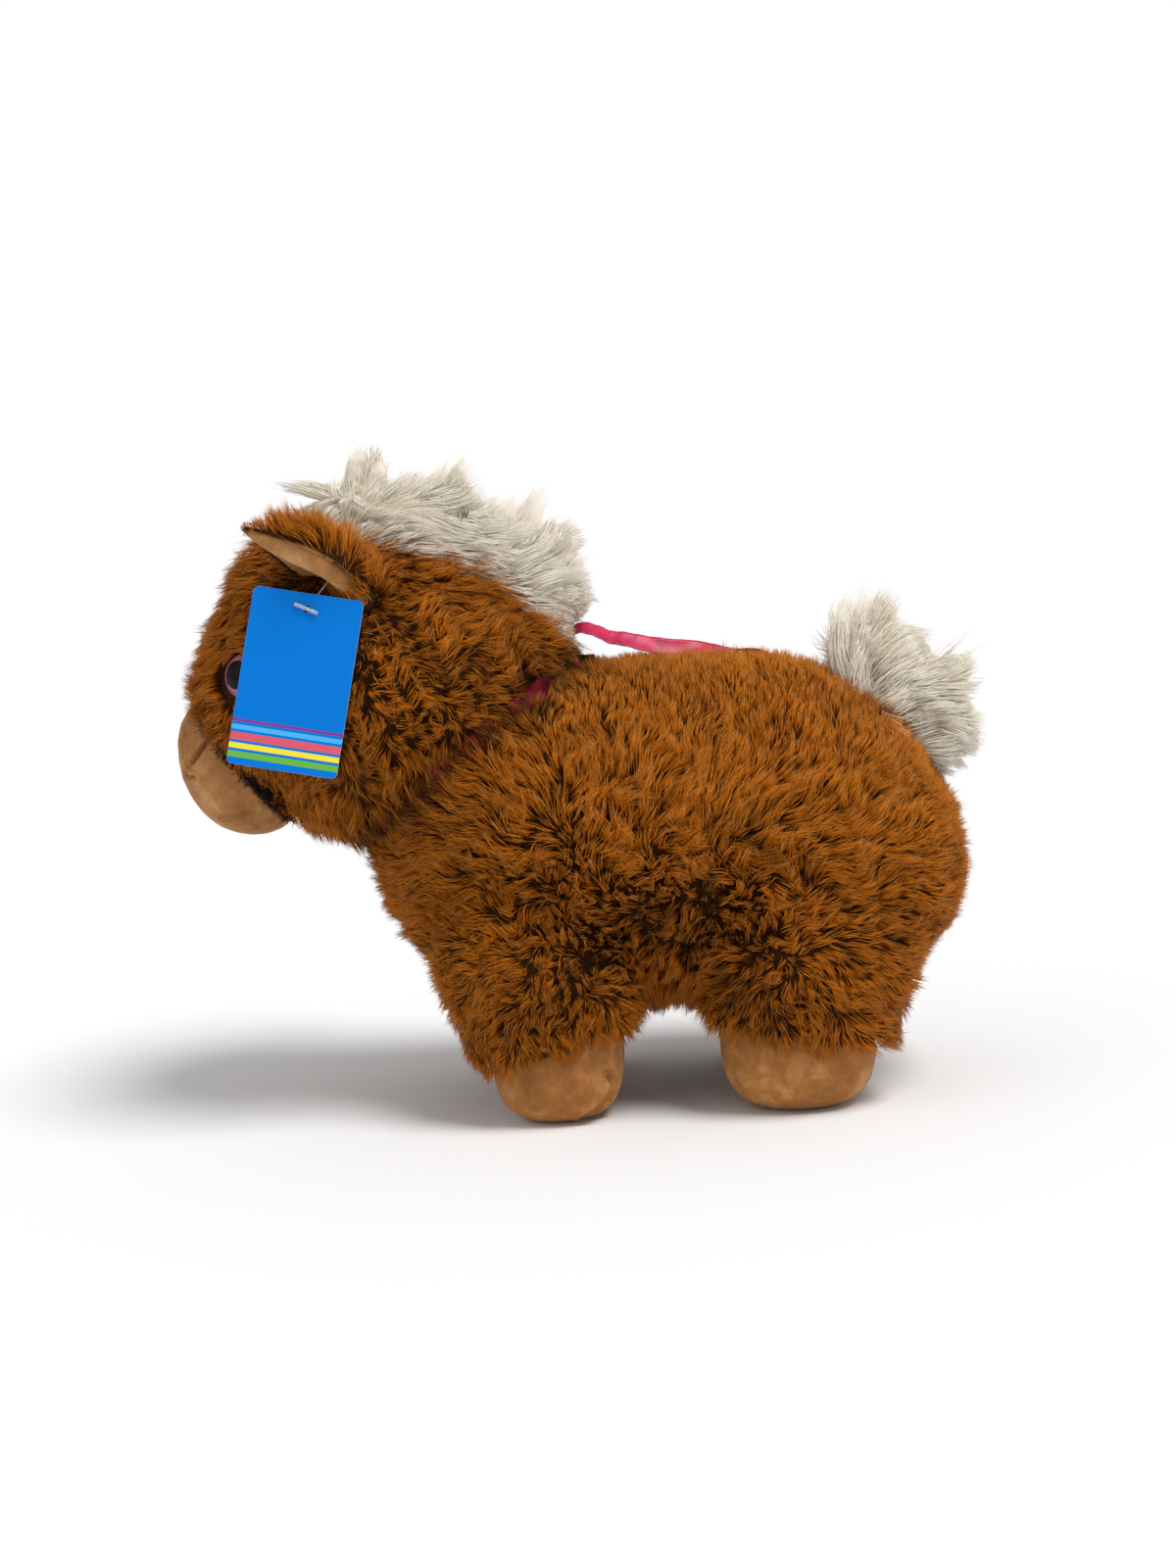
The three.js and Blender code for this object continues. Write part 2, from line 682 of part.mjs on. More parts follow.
// A length of ribbon through points that each have a direction across it
function ribbonEnd(points) {
  const centres = new THREE.CatmullRomCurve3(points.map((point) => point.centre));
  const acrosses = new THREE.CatmullRomCurve3(points.map((point) => point.across));
  const steps = (points.length - 1) * 3;
  const rings = [];
  for (let r = 0; r <= steps; r += 1) {
    const u = r / steps;
    const across = acrosses.getPoint(u).projectOnPlane(centres.getTangent(u)).setLength(ribbonWidth / 2);
    const thick = across.clone().cross(centres.getTangent(u)).setLength(ribbonThickness / 2);
    const corner = (a, b) => centres.getPoint(u).addScaledVector(across, a).addScaledVector(thick, b);
    rings.push([corner(-1, -1), corner(1, -1), corner(1, 1), corner(-1, 1)]);
  }
  return solidOf(skin(rings, centres.getPoint(0), centres.getPoint(1)));
}

// On the body, lying flat across the way to the next point
function laid(u, degrees, lift = ribbonLift) {
  const angle = rad(degrees);
  return bodyForm.at(u, angle).addScaledVector(bodyForm.normal(u, angle), lift);
}
function laidPoints(stops) {
  return stops.map(([u, degrees, lift], i) => {
    const here = laid(u, degrees, lift);
    const [nextU, nextDegrees] = stops[Math.min(i + 1, stops.length - 1)];
    const [lastU, lastDegrees] = stops[Math.max(i - 1, 0)];
    const way = laid(nextU, nextDegrees).sub(laid(lastU, lastDegrees));
    return { centre: here, across: bodyForm.normal(u, rad(degrees)).cross(way) };
  });
}
const knotTop = onNeck(0, knotMiddle + knotHigh);
const backTop = bodyForm.at(0.44, 0);
const standing = (share, up, across) => ({
  centre: vec(
    knotTop.x + (backTop.x - knotTop.x) * share,
    0,
    Math.max(knotTop.z, backTop.z) + ribbonWidth * up,
  ),
  across,
});
const backEnd = ribbonEnd([
  standing(0.025, 0.3, vec(0, 1, 0.2)),
  standing(0.06, 1, vec(0.3, 0.6, 0.8)),
  standing(0.21, 0.8, vec(0.1, 0.2, 1)),
  standing(0.41, 0.45, vec(0, 0.5, 1)),
  ...laidPoints([[0.44, 3, 2.2], [0.5, 14], [0.545, 30], [0.575, 47], [0.595, 63], [0.61, 77]]),
]);
const sideEnd = ribbonEnd(laidPoints([[0.105, 9, 3.5], [0.12, 20, 2.4], [0.135, 36], [0.15, 52], [0.165, 66], [0.185, 80]]));

// Swing tag, hanging from the thread in front of the cheek
const hole = pierce.clone().addScaledVector(earOpen, threadLength);
const tagFrame = new THREE.Matrix4().makeTranslation(hole)
  .multiply(new THREE.Matrix4().makeRotationX(rad(90 - tagPitch)))
  .multiply(new THREE.Matrix4().makeRotationZ(rad(-tagLean)));
const cardOutline = new THREE.Shape();
const left = -tagWidth / 2;
const right = tagWidth / 2;
const top = tagHoleInset;
const bottom = tagHoleInset - tagHeight;
cardOutline.moveTo(left + tagCorner, bottom);
cardOutline.lineTo(right - tagCorner, bottom);
cardOutline.absarc(right - tagCorner, bottom + tagCorner, tagCorner, -Math.PI / 2, 0);
cardOutline.lineTo(right, top - tagCorner);
cardOutline.absarc(right - tagCorner, top - tagCorner, tagCorner, 0, Math.PI / 2);
cardOutline.lineTo(left + tagCorner, top);
cardOutline.absarc(left + tagCorner, top - tagCorner, tagCorner, Math.PI / 2, Math.PI);
cardOutline.lineTo(left, bottom + tagCorner);
cardOutline.absarc(left + tagCorner, bottom + tagCorner, tagCorner, Math.PI, Math.PI * 1.5);
cardOutline.holes.push(new THREE.Path().absarc(0, 0, tagHoleDiameter / 2, 0, Math.PI * 2, true));
const card = new THREE.ExtrudeGeometry(cardOutline, {
  depth: tagThickness,
  bevelEnabled: false,
  curveSegments: 5,
}).translate(0, 0, -tagThickness / 2);
const cardSolid = turned(card, tagFrame);

// Fastener: a bar on the ear's back, a thread through ear and card, and a bar on the card's face
const cardOut = vec(0, 0, 1).transformDirection(tagFrame);
const cardAcross = vec(1, 0, 0).transformDirection(tagFrame);
const swingAxis = cardAcross.clone().projectOnPlane(earOpen).normalize();
const backBarOff = earBackDepth - pierceDepth + barDiameter / 2 + seam * 1.5;
const backBarAt = pierce.clone().addScaledVector(earOpen, -backBarOff);
const faceBarAt = hole.clone().addScaledVector(cardOut, tagThickness / 2 + seam + barDiameter / 2);
const faceBarAlong = cardAcross.clone().applyAxisAngle(cardOut, rad(faceBarTurn));
const threadPath = new THREE.CatmullRomCurve3([
  backBarAt,
  pierce,
  pierce.clone().addScaledVector(earOpen, threadLength * 0.66),
  hole.clone().addScaledVector(cardOut, -threadDiameter * 2.4).addScaledVector(earOpen, -threadDiameter * 0.9),
  hole,
  faceBarAt,
]);
const threadSection = new THREE.Shape().absarc(0, 0, threadDiameter / 2, 0, Math.PI * 2);
const thread = new THREE.ExtrudeGeometry(threadSection, {
  steps: 14,
  curveSegments: 6,
  extrudePath: threadPath,
});
const crossBar = (place, along) => turned(bar(barDiameter / 2, barLength, 8), frameAt(place, along, cardOut));
const fastenerSolid = union([
  solidOf(thread),
  crossBar(backBarAt, swingAxis),
  crossBar(faceBarAt, faceBarAlong),
]);

// Scene graph: still parts hang in the body's group, and each moving part in a group at its joint

const pony = new THREE.Group();
const headGroup = new THREE.Group();
const nearEarGroup = new THREE.Group();
const farEarGroup = new THREE.Group();
const tailGroup = new THREE.Group();
const fastenerGroup = new THREE.Group();
const tagGroup = new THREE.Group();
const farEarRoot = earRoot.clone().multiply(vec(1, -1, 1));
headGroup.position.copy(neckCentre);
nearEarGroup.position.copy(earRoot).sub(neckCentre);
farEarGroup.position.copy(farEarRoot).sub(neckCentre);
fastenerGroup.position.copy(pierce).sub(earRoot);
tagGroup.position.copy(hole).sub(pierce);
tailGroup.position.copy(tailRoot);
pony.add(headGroup, tailGroup);
headGroup.add(nearEarGroup, farEarGroup);
nearEarGroup.add(fastenerGroup);
fastenerGroup.add(tagGroup);

function put(parent, pivot, name, solid, material) {
  const geometry = geometryOf(solid).translate(-pivot.x, -pivot.y, -pivot.z);
  const mesh = new THREE.Mesh(geometry, material);
  mesh.name = name;
  parent.add(mesh);
}

const still = vec(0, 0, 0);
put(pony, still, 'body', bodySolid, furMaterial);
put(pony, still, 'front_leg_near', front.leg, furMaterial);
put(pony, still, 'front_leg_far', mirrored(front.leg), furMaterial);
put(pony, still, 'hind_leg_near', hind.leg, furMaterial);
put(pony, still, 'hind_leg_far', mirrored(hind.leg), furMaterial);
put(pony, still, 'front_hoof_near', front.hoof, plushMaterial);
put(pony, still, 'front_hoof_far', mirrored(front.hoof), plushMaterial);
put(pony, still, 'hind_hoof_near', hind.hoof, plushMaterial);
put(pony, still, 'hind_hoof_far', mirrored(hind.hoof), plushMaterial);
put(pony, still, 'ribbon_collar', bandSolid, satinMaterial);
put(pony, still, 'ribbon_knot', knotSolid, satinMaterial);
put(pony, still, 'ribbon_back_end', backEnd, satinMaterial);
put(pony, still, 'ribbon_side_end', sideEnd, satinMaterial);
put(headGroup, neckCentre, 'head', headSolid, furMaterial);
put(headGroup, neckCentre, 'muzzle', muzzleSolid, plushMaterial);
put(headGroup, neckCentre, 'mane', maneSolid, silkMaterial);
put(headGroup, neckCentre, 'eye_near', eyeSolid, eyeMaterial);
put(headGroup, neckCentre, 'eye_far', mirrored(eyeSolid), eyeMaterial);
put(headGroup, neckCentre, 'eye_washer_near', washerSolid, washerMaterial);
put(headGroup, neckCentre, 'eye_washer_far', mirrored(washerSolid), washerMaterial);
put(nearEarGroup, earRoot, 'ear_back_near', earBackSolid, furMaterial);
put(nearEarGroup, earRoot, 'ear_lining_near', nearEarLining, plushMaterial);
put(farEarGroup, farEarRoot, 'ear_back_far', farEarBack, furMaterial);
put(farEarGroup, farEarRoot, 'ear_lining_far', farEarLining, plushMaterial);
put(tailGroup, tailRoot, 'tail', tailSolid, silkMaterial);
put(fastenerGroup, pierce, 'tag_fastener', fastenerSolid, nylonMaterial);
put(tagGroup, hole, 'swing_tag', cardSolid, cardMaterial);

// Origin at the middle of the object's box, on the floor
pony.updateMatrixWorld(true);
const box = new THREE.Box3().setFromObject(pony);
pony.position.set(-(box.min.x + box.max.x) / 2, -(box.min.y + box.max.y) / 2, -box.min.z);

export default pony;
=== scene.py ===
"""A standing plush pony with a card tag and a satin neck ribbon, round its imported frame."""

import json
import math
from collections import namedtuple

import bmesh
import bpy
import numpy as np
from bpy.props import FloatProperty, FloatVectorProperty, IntProperty, PointerProperty
from mathutils import Matrix, Vector
from mathutils.bvhtree import BVHTree
from mathutils.kdtree import KDTree


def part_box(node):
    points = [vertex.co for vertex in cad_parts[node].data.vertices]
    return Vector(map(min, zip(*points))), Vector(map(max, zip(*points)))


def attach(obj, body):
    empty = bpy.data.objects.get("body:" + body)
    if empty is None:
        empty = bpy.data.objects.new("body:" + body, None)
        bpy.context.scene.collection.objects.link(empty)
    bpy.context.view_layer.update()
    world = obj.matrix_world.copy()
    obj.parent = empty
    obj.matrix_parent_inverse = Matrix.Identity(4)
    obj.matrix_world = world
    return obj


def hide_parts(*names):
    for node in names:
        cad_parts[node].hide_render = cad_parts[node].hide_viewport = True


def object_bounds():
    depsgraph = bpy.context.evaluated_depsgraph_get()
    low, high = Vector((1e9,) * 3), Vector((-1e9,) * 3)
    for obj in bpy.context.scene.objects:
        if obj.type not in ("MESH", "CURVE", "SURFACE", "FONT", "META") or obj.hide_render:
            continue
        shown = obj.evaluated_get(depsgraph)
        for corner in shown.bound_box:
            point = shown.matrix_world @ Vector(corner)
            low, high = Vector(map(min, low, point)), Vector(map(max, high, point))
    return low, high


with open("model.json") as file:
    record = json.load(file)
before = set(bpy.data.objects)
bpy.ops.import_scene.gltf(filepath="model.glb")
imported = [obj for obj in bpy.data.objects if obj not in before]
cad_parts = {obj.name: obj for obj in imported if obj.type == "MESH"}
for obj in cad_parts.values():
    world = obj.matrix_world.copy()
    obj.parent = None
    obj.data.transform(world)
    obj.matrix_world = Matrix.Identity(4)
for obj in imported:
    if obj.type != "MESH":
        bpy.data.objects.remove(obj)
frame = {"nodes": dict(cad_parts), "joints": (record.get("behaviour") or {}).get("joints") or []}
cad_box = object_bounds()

bl_info = {
    "name": "Plush Pony",
    "version": (1, 0, 0),
    "blender": (4, 5, 0),
    "location": "3D View > Sidebar > Pony",
    "description": "Dresses the pony's packed solids with pile, plush, satin and card",
    "category": "Add Mesh",
}

MM = 0.001

# The card, its hole and its corners, and how many degrees it leans
CARD_WIDTH = 53 * MM
CARD_HEIGHT = 85 * MM
CARD_THICKNESS = 0.6 * MM
CARD_HOLE_INSET = 7.5 * MM
CARD_HOLE = 3.6 * MM
CARD_CORNER = 3 * MM
CARD_LEAN = 12

# Which solids the pieces stand for
LEGS = ("front_leg_near", "front_leg_far", "hind_leg_near", "hind_leg_far")
HOOVES = ("front_hoof_near", "front_hoof_far", "hind_hoof_near", "hind_hoof_far")
SIDES = ("near", "far")


def linear(code):
    """A colour written as a web code, as linear light."""
    parts = [int(code[i:i + 2], 16) / 255 for i in (1, 3, 5)]
    return tuple(c / 12.92 if c <= 0.04045 else ((c + 0.055) / 1.055) ** 2.4 for c in parts)


def colour_value(name, description, code):
    return FloatVectorProperty(
        name=name,
        description=description,
        default=linear(code),
        subtype="COLOR",
        size=3,
        min=0,
        max=1,
    )


def length_value(name, description, millimetres):
    value = millimetres * MM
    return FloatProperty(name=name, description=description, default=value, unit="LENGTH")


def angle_value(name, description, degrees):
    value = math.radians(degrees)
    return FloatProperty(name=name, description=description, default=value, subtype="ANGLE")


def count_value(name, description, default):
    return IntProperty(name=name, description=description, default=default, min=1)


class PonyPile(bpy.types.PropertyGroup):
    """The long chestnut pile and the white pile of mane and tail."""

    body_count: count_value("Body fibres", "Fibres on the body and the legs", 156000)
    head_count: count_value("Head fibres", "Fibres on the head", 64000)
    ear_count: count_value("Ear fibres", "Fibres on each ear's back", 6500)
    mane_count: count_value("Mane fibres", "Fibres in the mane", 19000)
    tail_count: count_value("Tail fibres", "Fibres in the tail", 11000)
    depth: length_value("Pile depth", "How deep the backing lies under the coat's outline", 6)
    width: length_value("Fibre width", "Width of a chestnut fibre at its widest", 0.44)
    silk_width: length_value("Silk width", "Width of a white fibre at its widest", 0.42)
    # Each pile's root colour is painted shade between the fibres; its tip colour is partly the pile's
    # own colour and partly a painted highlight
    root: colour_value("Root", "Chestnut pile at its root", "#4A2409")
    middle: colour_value("Middle", "Chestnut pile halfway", "#C47008")
    tip: colour_value("Tip", "Chestnut pile at its tip", "#E29C4C")
    # The backing's dark colour is painted shade seen between the fibres
    backing: colour_value("Backing", "Knitted backing under the chestnut pile", "#3A200E")
    silk_root: colour_value("Silk root", "White pile at its root", "#F2E6CE")
    silk_middle: colour_value("Silk middle", "White pile halfway", "#FFF8E8")
    silk_tip: colour_value("Silk tip", "White pile at its tip", "#FFEFE6")


class PonyPlush(bpy.types.PropertyGroup):
    """The short tan plush of muzzle, hooves and ear linings, and the eyes."""

    # The light tan and light hoof colours are painted sheen, and the dark tan and dark hoof colours
    # painted shade, on random patches of the nap
    tan: colour_value("Tan", "Muzzle plush with the nap smoothed down", "#B27C48")
    tan_light: colour_value("Light tan", "Muzzle plush where the nap catches the light", "#D2A36C")
    tan_dark: colour_value("Dark tan", "Muzzle plush where the nap is brushed up", "#946238")
    hoof: colour_value("Hoof", "Hoof plush with the nap smoothed down", "#B0743C")
    hoof_light: colour_value("Light hoof", "Hoof plush where the nap catches the light", "#D8A464")
    hoof_dark: colour_value("Dark hoof", "Hoof plush where the nap is brushed up", "#8A562A")
    seam: colour_value("Seam fuzz", "Dark fuzz along the muzzle's seam", "#1A120E")
    iris: colour_value("Iris", "Ring round the pupil", "#A0607A")
    pupil: colour_value("Pupil", "Middle of the eye", "#060505")


class PonyTrim(bpy.types.PropertyGroup):
    """The ribbon, the tag and its fastener."""

    satin: colour_value("Satin", "Crimson ribbon", "#CC0E4C")
    card: colour_value("Card", "Printed face of the tag", "#0078D6")
    paper: colour_value("Paper", "Cut edge of the tag", "#DDE6EE")
    nylon: colour_value("Nylon", "Fastener of clear nylon", "#DCE8F5")


class PonyStage(bpy.types.PropertyGroup):
    """Floor, light and camera."""

    distance: length_value("Camera distance", "From the camera to the point it looks at", 1100)
    height: length_value("Aim height", "Height of the point the camera looks at", 159)
    yaw: angle_value("Yaw", "Camera's turn round the pony", 2)
    elevation: angle_value("Elevation", "Camera's angle above the horizon", 6)
    roll: angle_value("Roll", "Camera's tilt to the side", 3.5)
    lens: FloatProperty(name="Lens", description="For a 36 mm sensor", default=49.5, min=1)
    floor: colour_value("Floor", "Plain pale floor", "#F2F2F2")
    ambient: FloatProperty(name="Ambient", description="Light from all round", default=0.5)
    key: FloatProperty(name="Key", description="Soft light from above", default=2.25)
    fill: FloatProperty(name="Fill", description="Soft light from the muzzle's side", default=0.25)


def deselect():
    bpy.ops.object.select_all(action="DESELECT")


def add_object(name, data):
    piece = bpy.data.objects.new(name, data)
    bpy.context.scene.collection.objects.link(piece)
    return piece


def object_from(work, name):
    """An object with the mesh that was worked on."""
    mesh = bpy.data.meshes.new(name)
    work.to_mesh(mesh)
    work.free()
    return add_object(name, mesh)


def select_only(*pieces):
    deselect()
    for piece in pieces:
        piece.select_set(True)
    bpy.context.view_layer.objects.active = pieces[0]


def settle(piece):
    """Brings the piece's place into its mesh, so that its object sits at the origin."""
    select_only(piece)
    bpy.ops.object.transform_apply(location=True, rotation=True, scale=True)


def finished(piece, kind, **settings):
    """Applies one modifier to the piece."""
    select_only(piece)
    modifier = piece.modifiers.new(kind.title(), kind)
    for name, value in settings.items():
        setattr(modifier, name, value)
    bpy.ops.object.modifier_apply(modifier=modifier.name)
    return piece


def node_copy(name, *nodes):
    """One mesh that holds copies of these solids, with their loose triangles merged."""
    copies = []
    for node in nodes:
        copy = add_object(name, frame["nodes"][node].data.copy())
        copy.data.materials.clear()
        copies.append(copy)
    select_only(*copies)
    if len(copies) > 1:
        bpy.ops.object.join()
    piece = bpy.context.view_layer.objects.active
    bpy.ops.object.mode_set(mode="EDIT")
    bpy.ops.mesh.select_all(action="SELECT")
    bpy.ops.mesh.remove_doubles(threshold=0.02 * MM)
    bpy.ops.object.mode_set(mode="OBJECT")
    piece.name = name
    return piece


def keep_outer_shell(piece):
    """Deletes what a remesh leaves inside the form."""
    work = bmesh.new()
    work.from_mesh(piece.data)
    shells, seen = [], set()
    for start in work.verts:
        if start.index in seen:
            continue
        shell, front = [], [start]
        seen.add(start.index)
        while front:
            vert = front.pop()
            shell.append(vert)
            for edge in vert.link_edges:
                other = edge.other_vert(vert)
                if other.index not in seen:
                    seen.add(other.index)
                    front.append(other)
        shells.append(shell)
    shells.sort(key=len)
    spare = [vert for shell in shells[:-1] for vert in shell]
    bmesh.ops.delete(work, geom=spare, context="VERTS")
    work.to_mesh(piece.data)
    work.free()


def soft_form(name, nodes, voxel, rounds, grow=0.25 * MM):
    """The smooth outer form of these solids, as one closed skin."""
    form = node_copy(name, *nodes)
    if grow:
        finished(form, "DISPLACE", strength=grow, mid_level=0)
    finished(form, "REMESH", mode="VOXEL", voxel_size=voxel, use_smooth_shade=True)
    keep_outer_shell(form)
    finished(form, "SMOOTH", factor=0.5, iterations=rounds)
    return form


def points_of(piece):
    mesh = piece.data
    found = np.empty(len(mesh.vertices) * 3)
    mesh.vertices.foreach_get("co", found)
    return found.reshape(-1, 3)


def place_points(piece, points):
    piece.data.vertices.foreach_set("co", np.ascontiguousarray(points, float).ravel())
    piece.data.update()


def normals_of(piece):
    mesh = piece.data
    found = np.empty(len(mesh.vertices) * 3, np.float32)
    mesh.vertex_normals.foreach_get("vector", found)
    return found.reshape(-1, 3).astype(float)


def triangles_of(piece):
    mesh = piece.data
    mesh.calc_loop_triangles()
    found = np.empty(len(mesh.loop_triangles) * 3, np.int32)
    mesh.loop_triangles.foreach_get("vertices", found)
    return found.reshape(-1, 3)


def unit(vectors):
    size = np.linalg.norm(vectors, axis=-1, keepdims=True)
    return vectors / np.maximum(size, 1e-9)


def tree_of(*nodes):
    """A search tree over the surfaces of these solids."""
    corners, faces = [], []
    for node in nodes:
        mesh = frame["nodes"][node].data
        start = len(corners)
        corners.extend(v.co.copy() for v in mesh.vertices)
        faces.extend([start + i for i in p.vertices] for p in mesh.polygons)
    return BVHTree.FromPolygons(corners, faces)


def distance_to(tree, points):
    return np.array([tree.find_nearest(p)[3] for p in points])


def ripple(points, size, rng):
    """Smooth noise over the form, mostly between -1 and 1."""
    total = np.zeros(len(points))
    for _ in range(6):
        wave = rng.normal(size=3)
        wave *= 2 * math.pi / (size * rng.uniform(0.7, 1.5)) / np.linalg.norm(wave)
        total += np.sin(points @ wave + rng.uniform(0, 2 * math.pi))
    return total / 2.4


def joint(name):
    return next(one for one in frame["joints"] if one["name"] == name)


def joint_place(name):
    return Vector(joint(name)["pos_m"]), Vector(joint(name)["axis"])


def neck():
    """The middle of the neck's crease and the way to the head."""
    return np.array(joint("head_turn")["pos_m"]), np.array(joint("head_turn")["axis"])


def about_neck(points):
    """How far each point lies from the crease towards the head, and from the neck's axis."""
    centre, axis = neck()
    out = points - centre
    ahead = out @ axis
    return ahead, np.linalg.norm(out - ahead[:, None] * axis, axis=1)


def pile_depth(form, depth, *edges):
    """How deep the backing lies: less where the pile is trimmed beside another piece. Each edge
    is a node, the share of the depth left beside it and how far from it the pile is full."""
    outline = points_of(form)
    share = np.ones(len(outline))
    for node, least, reach in edges:
        away = distance_to(tree_of(node), outline)
        share = np.minimum(share, np.interp(away, [2 * MM, reach], [least, 1]))
    return depth * share


# How the pile lies at a place on the pony's side: x and z in millimetres, the way the tips
# point in degrees (0 to the tail, 90 up), the lift off the backing in degrees, the fibre's
# length in millimetres, and how tangled it is, from 0 to 1.
Flow = namedtuple("Flow", "x z angle lift length tangle")

BODY_FLOW = (
    Flow(15, 206, 95, 48, 6, 0.15),
    Flow(50, 214, 97, 56, 8.5, 0.15),
    Flow(86, 212, 98, 58, 8, 0.15),
    Flow(120, 203, 90, 52, 9.5, 0.15),
    Flow(-22, 199, 95, 40, 11, 0.25),
    Flow(-47, 168, 150, 28, 16, 0.3),
    Flow(-31, 143, 125, 28, 17, 0.3),
    Flow(-88, 135, 168, 24, 11, 0.25),
    Flow(-81, 110, 192, 22, 10.5, 0.3),
    Flow(-60, 120, 165, 27, 17, 0.35),
    Flow(12, 159, 68, 22, 20, 0.2),
    Flow(9, 117, 50, 26, 16, 0.6),
    Flow(40, 160, 55, 22, 20, 0.15),
    Flow(26, 130, 50, 22, 19, 0.3),
    Flow(50, 185, 75, 40, 15, 0.15),
    Flow(87, 132, 45, 22, 20, 0.2),
    Flow(145, 178, 75, 40, 12, 0.15),
    Flow(105, 180, 70, 36, 16, 0.15),
    Flow(124, 130, 28, 22, 19, 0.15),
    Flow(162, 152, 38, 22, 11, 0.2),
    Flow(166, 115, 15, 20, 10, 0.2),
    Flow(127, 86, 5, 22, 13, 0.3),
    Flow(165, 85, -25, 18, 9, 0.2),
    Flow(17, 96, 130, 34, 13, 1),
    Flow(45, 96, 80, 36, 13, 1),
    Flow(73, 96, 70, 34, 13, 1),
    Flow(95, 100, 20, 28, 14, 0.7),
    Flow(41, 62, -90, 40, 13, 0.4),
    Flow(45, 80, 170, 34, 13, 0.7),
    Flow(-34, 74, -115, 20, 10, 0.7),
    Flow(-50, 95, -160, 22, 11, 0.5),
    Flow(-36, 46, -90, 16, 11, 0.3),
    Flow(6, 59, -50, 28, 14, 0.6),
    Flow(-20, 100, -150, 30, 14, 0.85),
    Flow(97, 58, -85, 24, 16, 0.3),
    Flow(136, 51, -45, 18, 10, 0.2),
    Flow(60, 75, -110, 30, 13, 0.8),
    Flow(75, 46, -95, 22, 15, 0.3),
)

HEAD_FLOW = (
    Flow(-168, 259, 232, 30, 12, 0.2),
    Flow(-150, 275, 222, 30, 12, 0.2),
    Flow(-179, 228, 208, 30, 14, 0.3),
    Flow(-192, 222, 195, 40, 16, 0.3),
    Flow(-174, 214, -50, 18, 9, 0.3),
    Flow(-91, 277, -40, 25, 14, 0.2),
    Flow(-41, 268, -38, 22, 17, 0.15),
    Flow(-19, 245, 30, 24, 15, 0.3),
    Flow(-50, 222, 42, 26, 15, 0.6),
    Flow(-94, 220, 40, 26, 14, 0.7),
    Flow(-87, 203, 5, 28, 14, 0.95),
    Flow(-125, 200, -100, 24, 13, 0.4),
    Flow(-132, 165, -90, 24, 15, 0.4),
    Flow(-95, 171, -92, 24, 15, 0.4),
    Flow(-60, 180, -110, 26, 15, 0.6),
    Flow(-150, 230, 200, 20, 9, 0.3),
    Flow(-122, 255, 230, 24, 11, 0.3),
)

EAR_FLOW = (
    Flow(-120, 288, 138, 42, 19, 0.3),
    Flow(-137, 297, 122, 44, 17, 0.3),
    Flow(-150, 297, 110, 34, 5, 0.2),
    Flow(-105, 275, 150, 32, 15, 0.4),
)

MANE_FLOW = (
    Flow(-119, 314, 140, 12, 9, 0.3),
    Flow(-105, 328, 113, 14, 16, 0.4),
    Flow(-94, 323, 75, 16, 20, 0.4),
    Flow(-100, 308, -5, 10, 24, 0.1),
    Flow(-78, 304, -15, 10, 25, 0.1),
    Flow(-59, 293, -25, 10, 24, 0.1),
    Flow(-65, 316, 69, 18, 22, 0.3),
    Flow(-44, 295, 55, 16, 22, 0.3),
    Flow(-29, 299, 63, 18, 22, 0.3),
    Flow(-22, 279, 45, 14, 22, 0.2),
    Flow(-42, 278, -25, 10, 22, 0.1),
    Flow(-16, 266, 25, 14, 20, 0.2),
    Flow(-4, 255, -9, 12, 12, 0.2),
    Flow(4, 265, 30, 12, 12, 0.2),
    Flow(-10, 245, -47, 12, 12, 0.2),
)

TAIL_FLOW = (
    Flow(124, 231, 75, 14, 24, 0.1),
    Flow(136, 232, 41, 10, 24, 0.05),
    Flow(146, 240, 33, 10, 18, 0.05),
    Flow(158, 241, 84, 6, 8, 0.05),
    Flow(159, 230, 80, 6, 8, 0.05),
    Flow(150, 226, 40, 10, 18, 0.05),
    Flow(163, 218, 20, 6, 10, 0.1),
    Flow(174, 213, 20, 8, 12, 0.1),
    Flow(187, 207, 15, 8, 12, 0.1),
    Flow(172, 199, 11, 10, 22, 0.05),
    Flow(186, 188, -8, 8, 14, 0.05),
    Flow(173, 177, -5, 10, 22, 0.05),
    Flow(190, 174, -25, 8, 13, 0.1),
    Flow(193, 163, -45, 10, 13, 0.2),
    Flow(143, 201, 48, 10, 24, 0.1),
    Flow(156, 190, 7, 10, 24, 0.1),
)

# What the coat is like: the places along a fibre, the share of fibres that lead a tuft and how
# far they pull the others, the same for clumps of tufts, how far the tufts turn in degrees, how
# far a fibre bends over in radians, and how wavy it is.
Coat = namedtuple("Coat", "steps tuft pull clump clump_pull swirl bend waviness")
CHESTNUT = Coat(3, 0.13, 0.46, 0.012, 0.12, 9, 0.45, 0.3)
SILK = Coat(4, 0.05, 0.6, 0.012, 0.2, 5, 0.3, 0.1)

# A lock of long white pile: where it is rooted, where it arches over and where it ends, in
# millimetres, how thick it is at its root and its tip, and its share of the fibres
Lock = namedtuple("Lock", "root over tip thick thin share")
LOCK_STEPS = 5

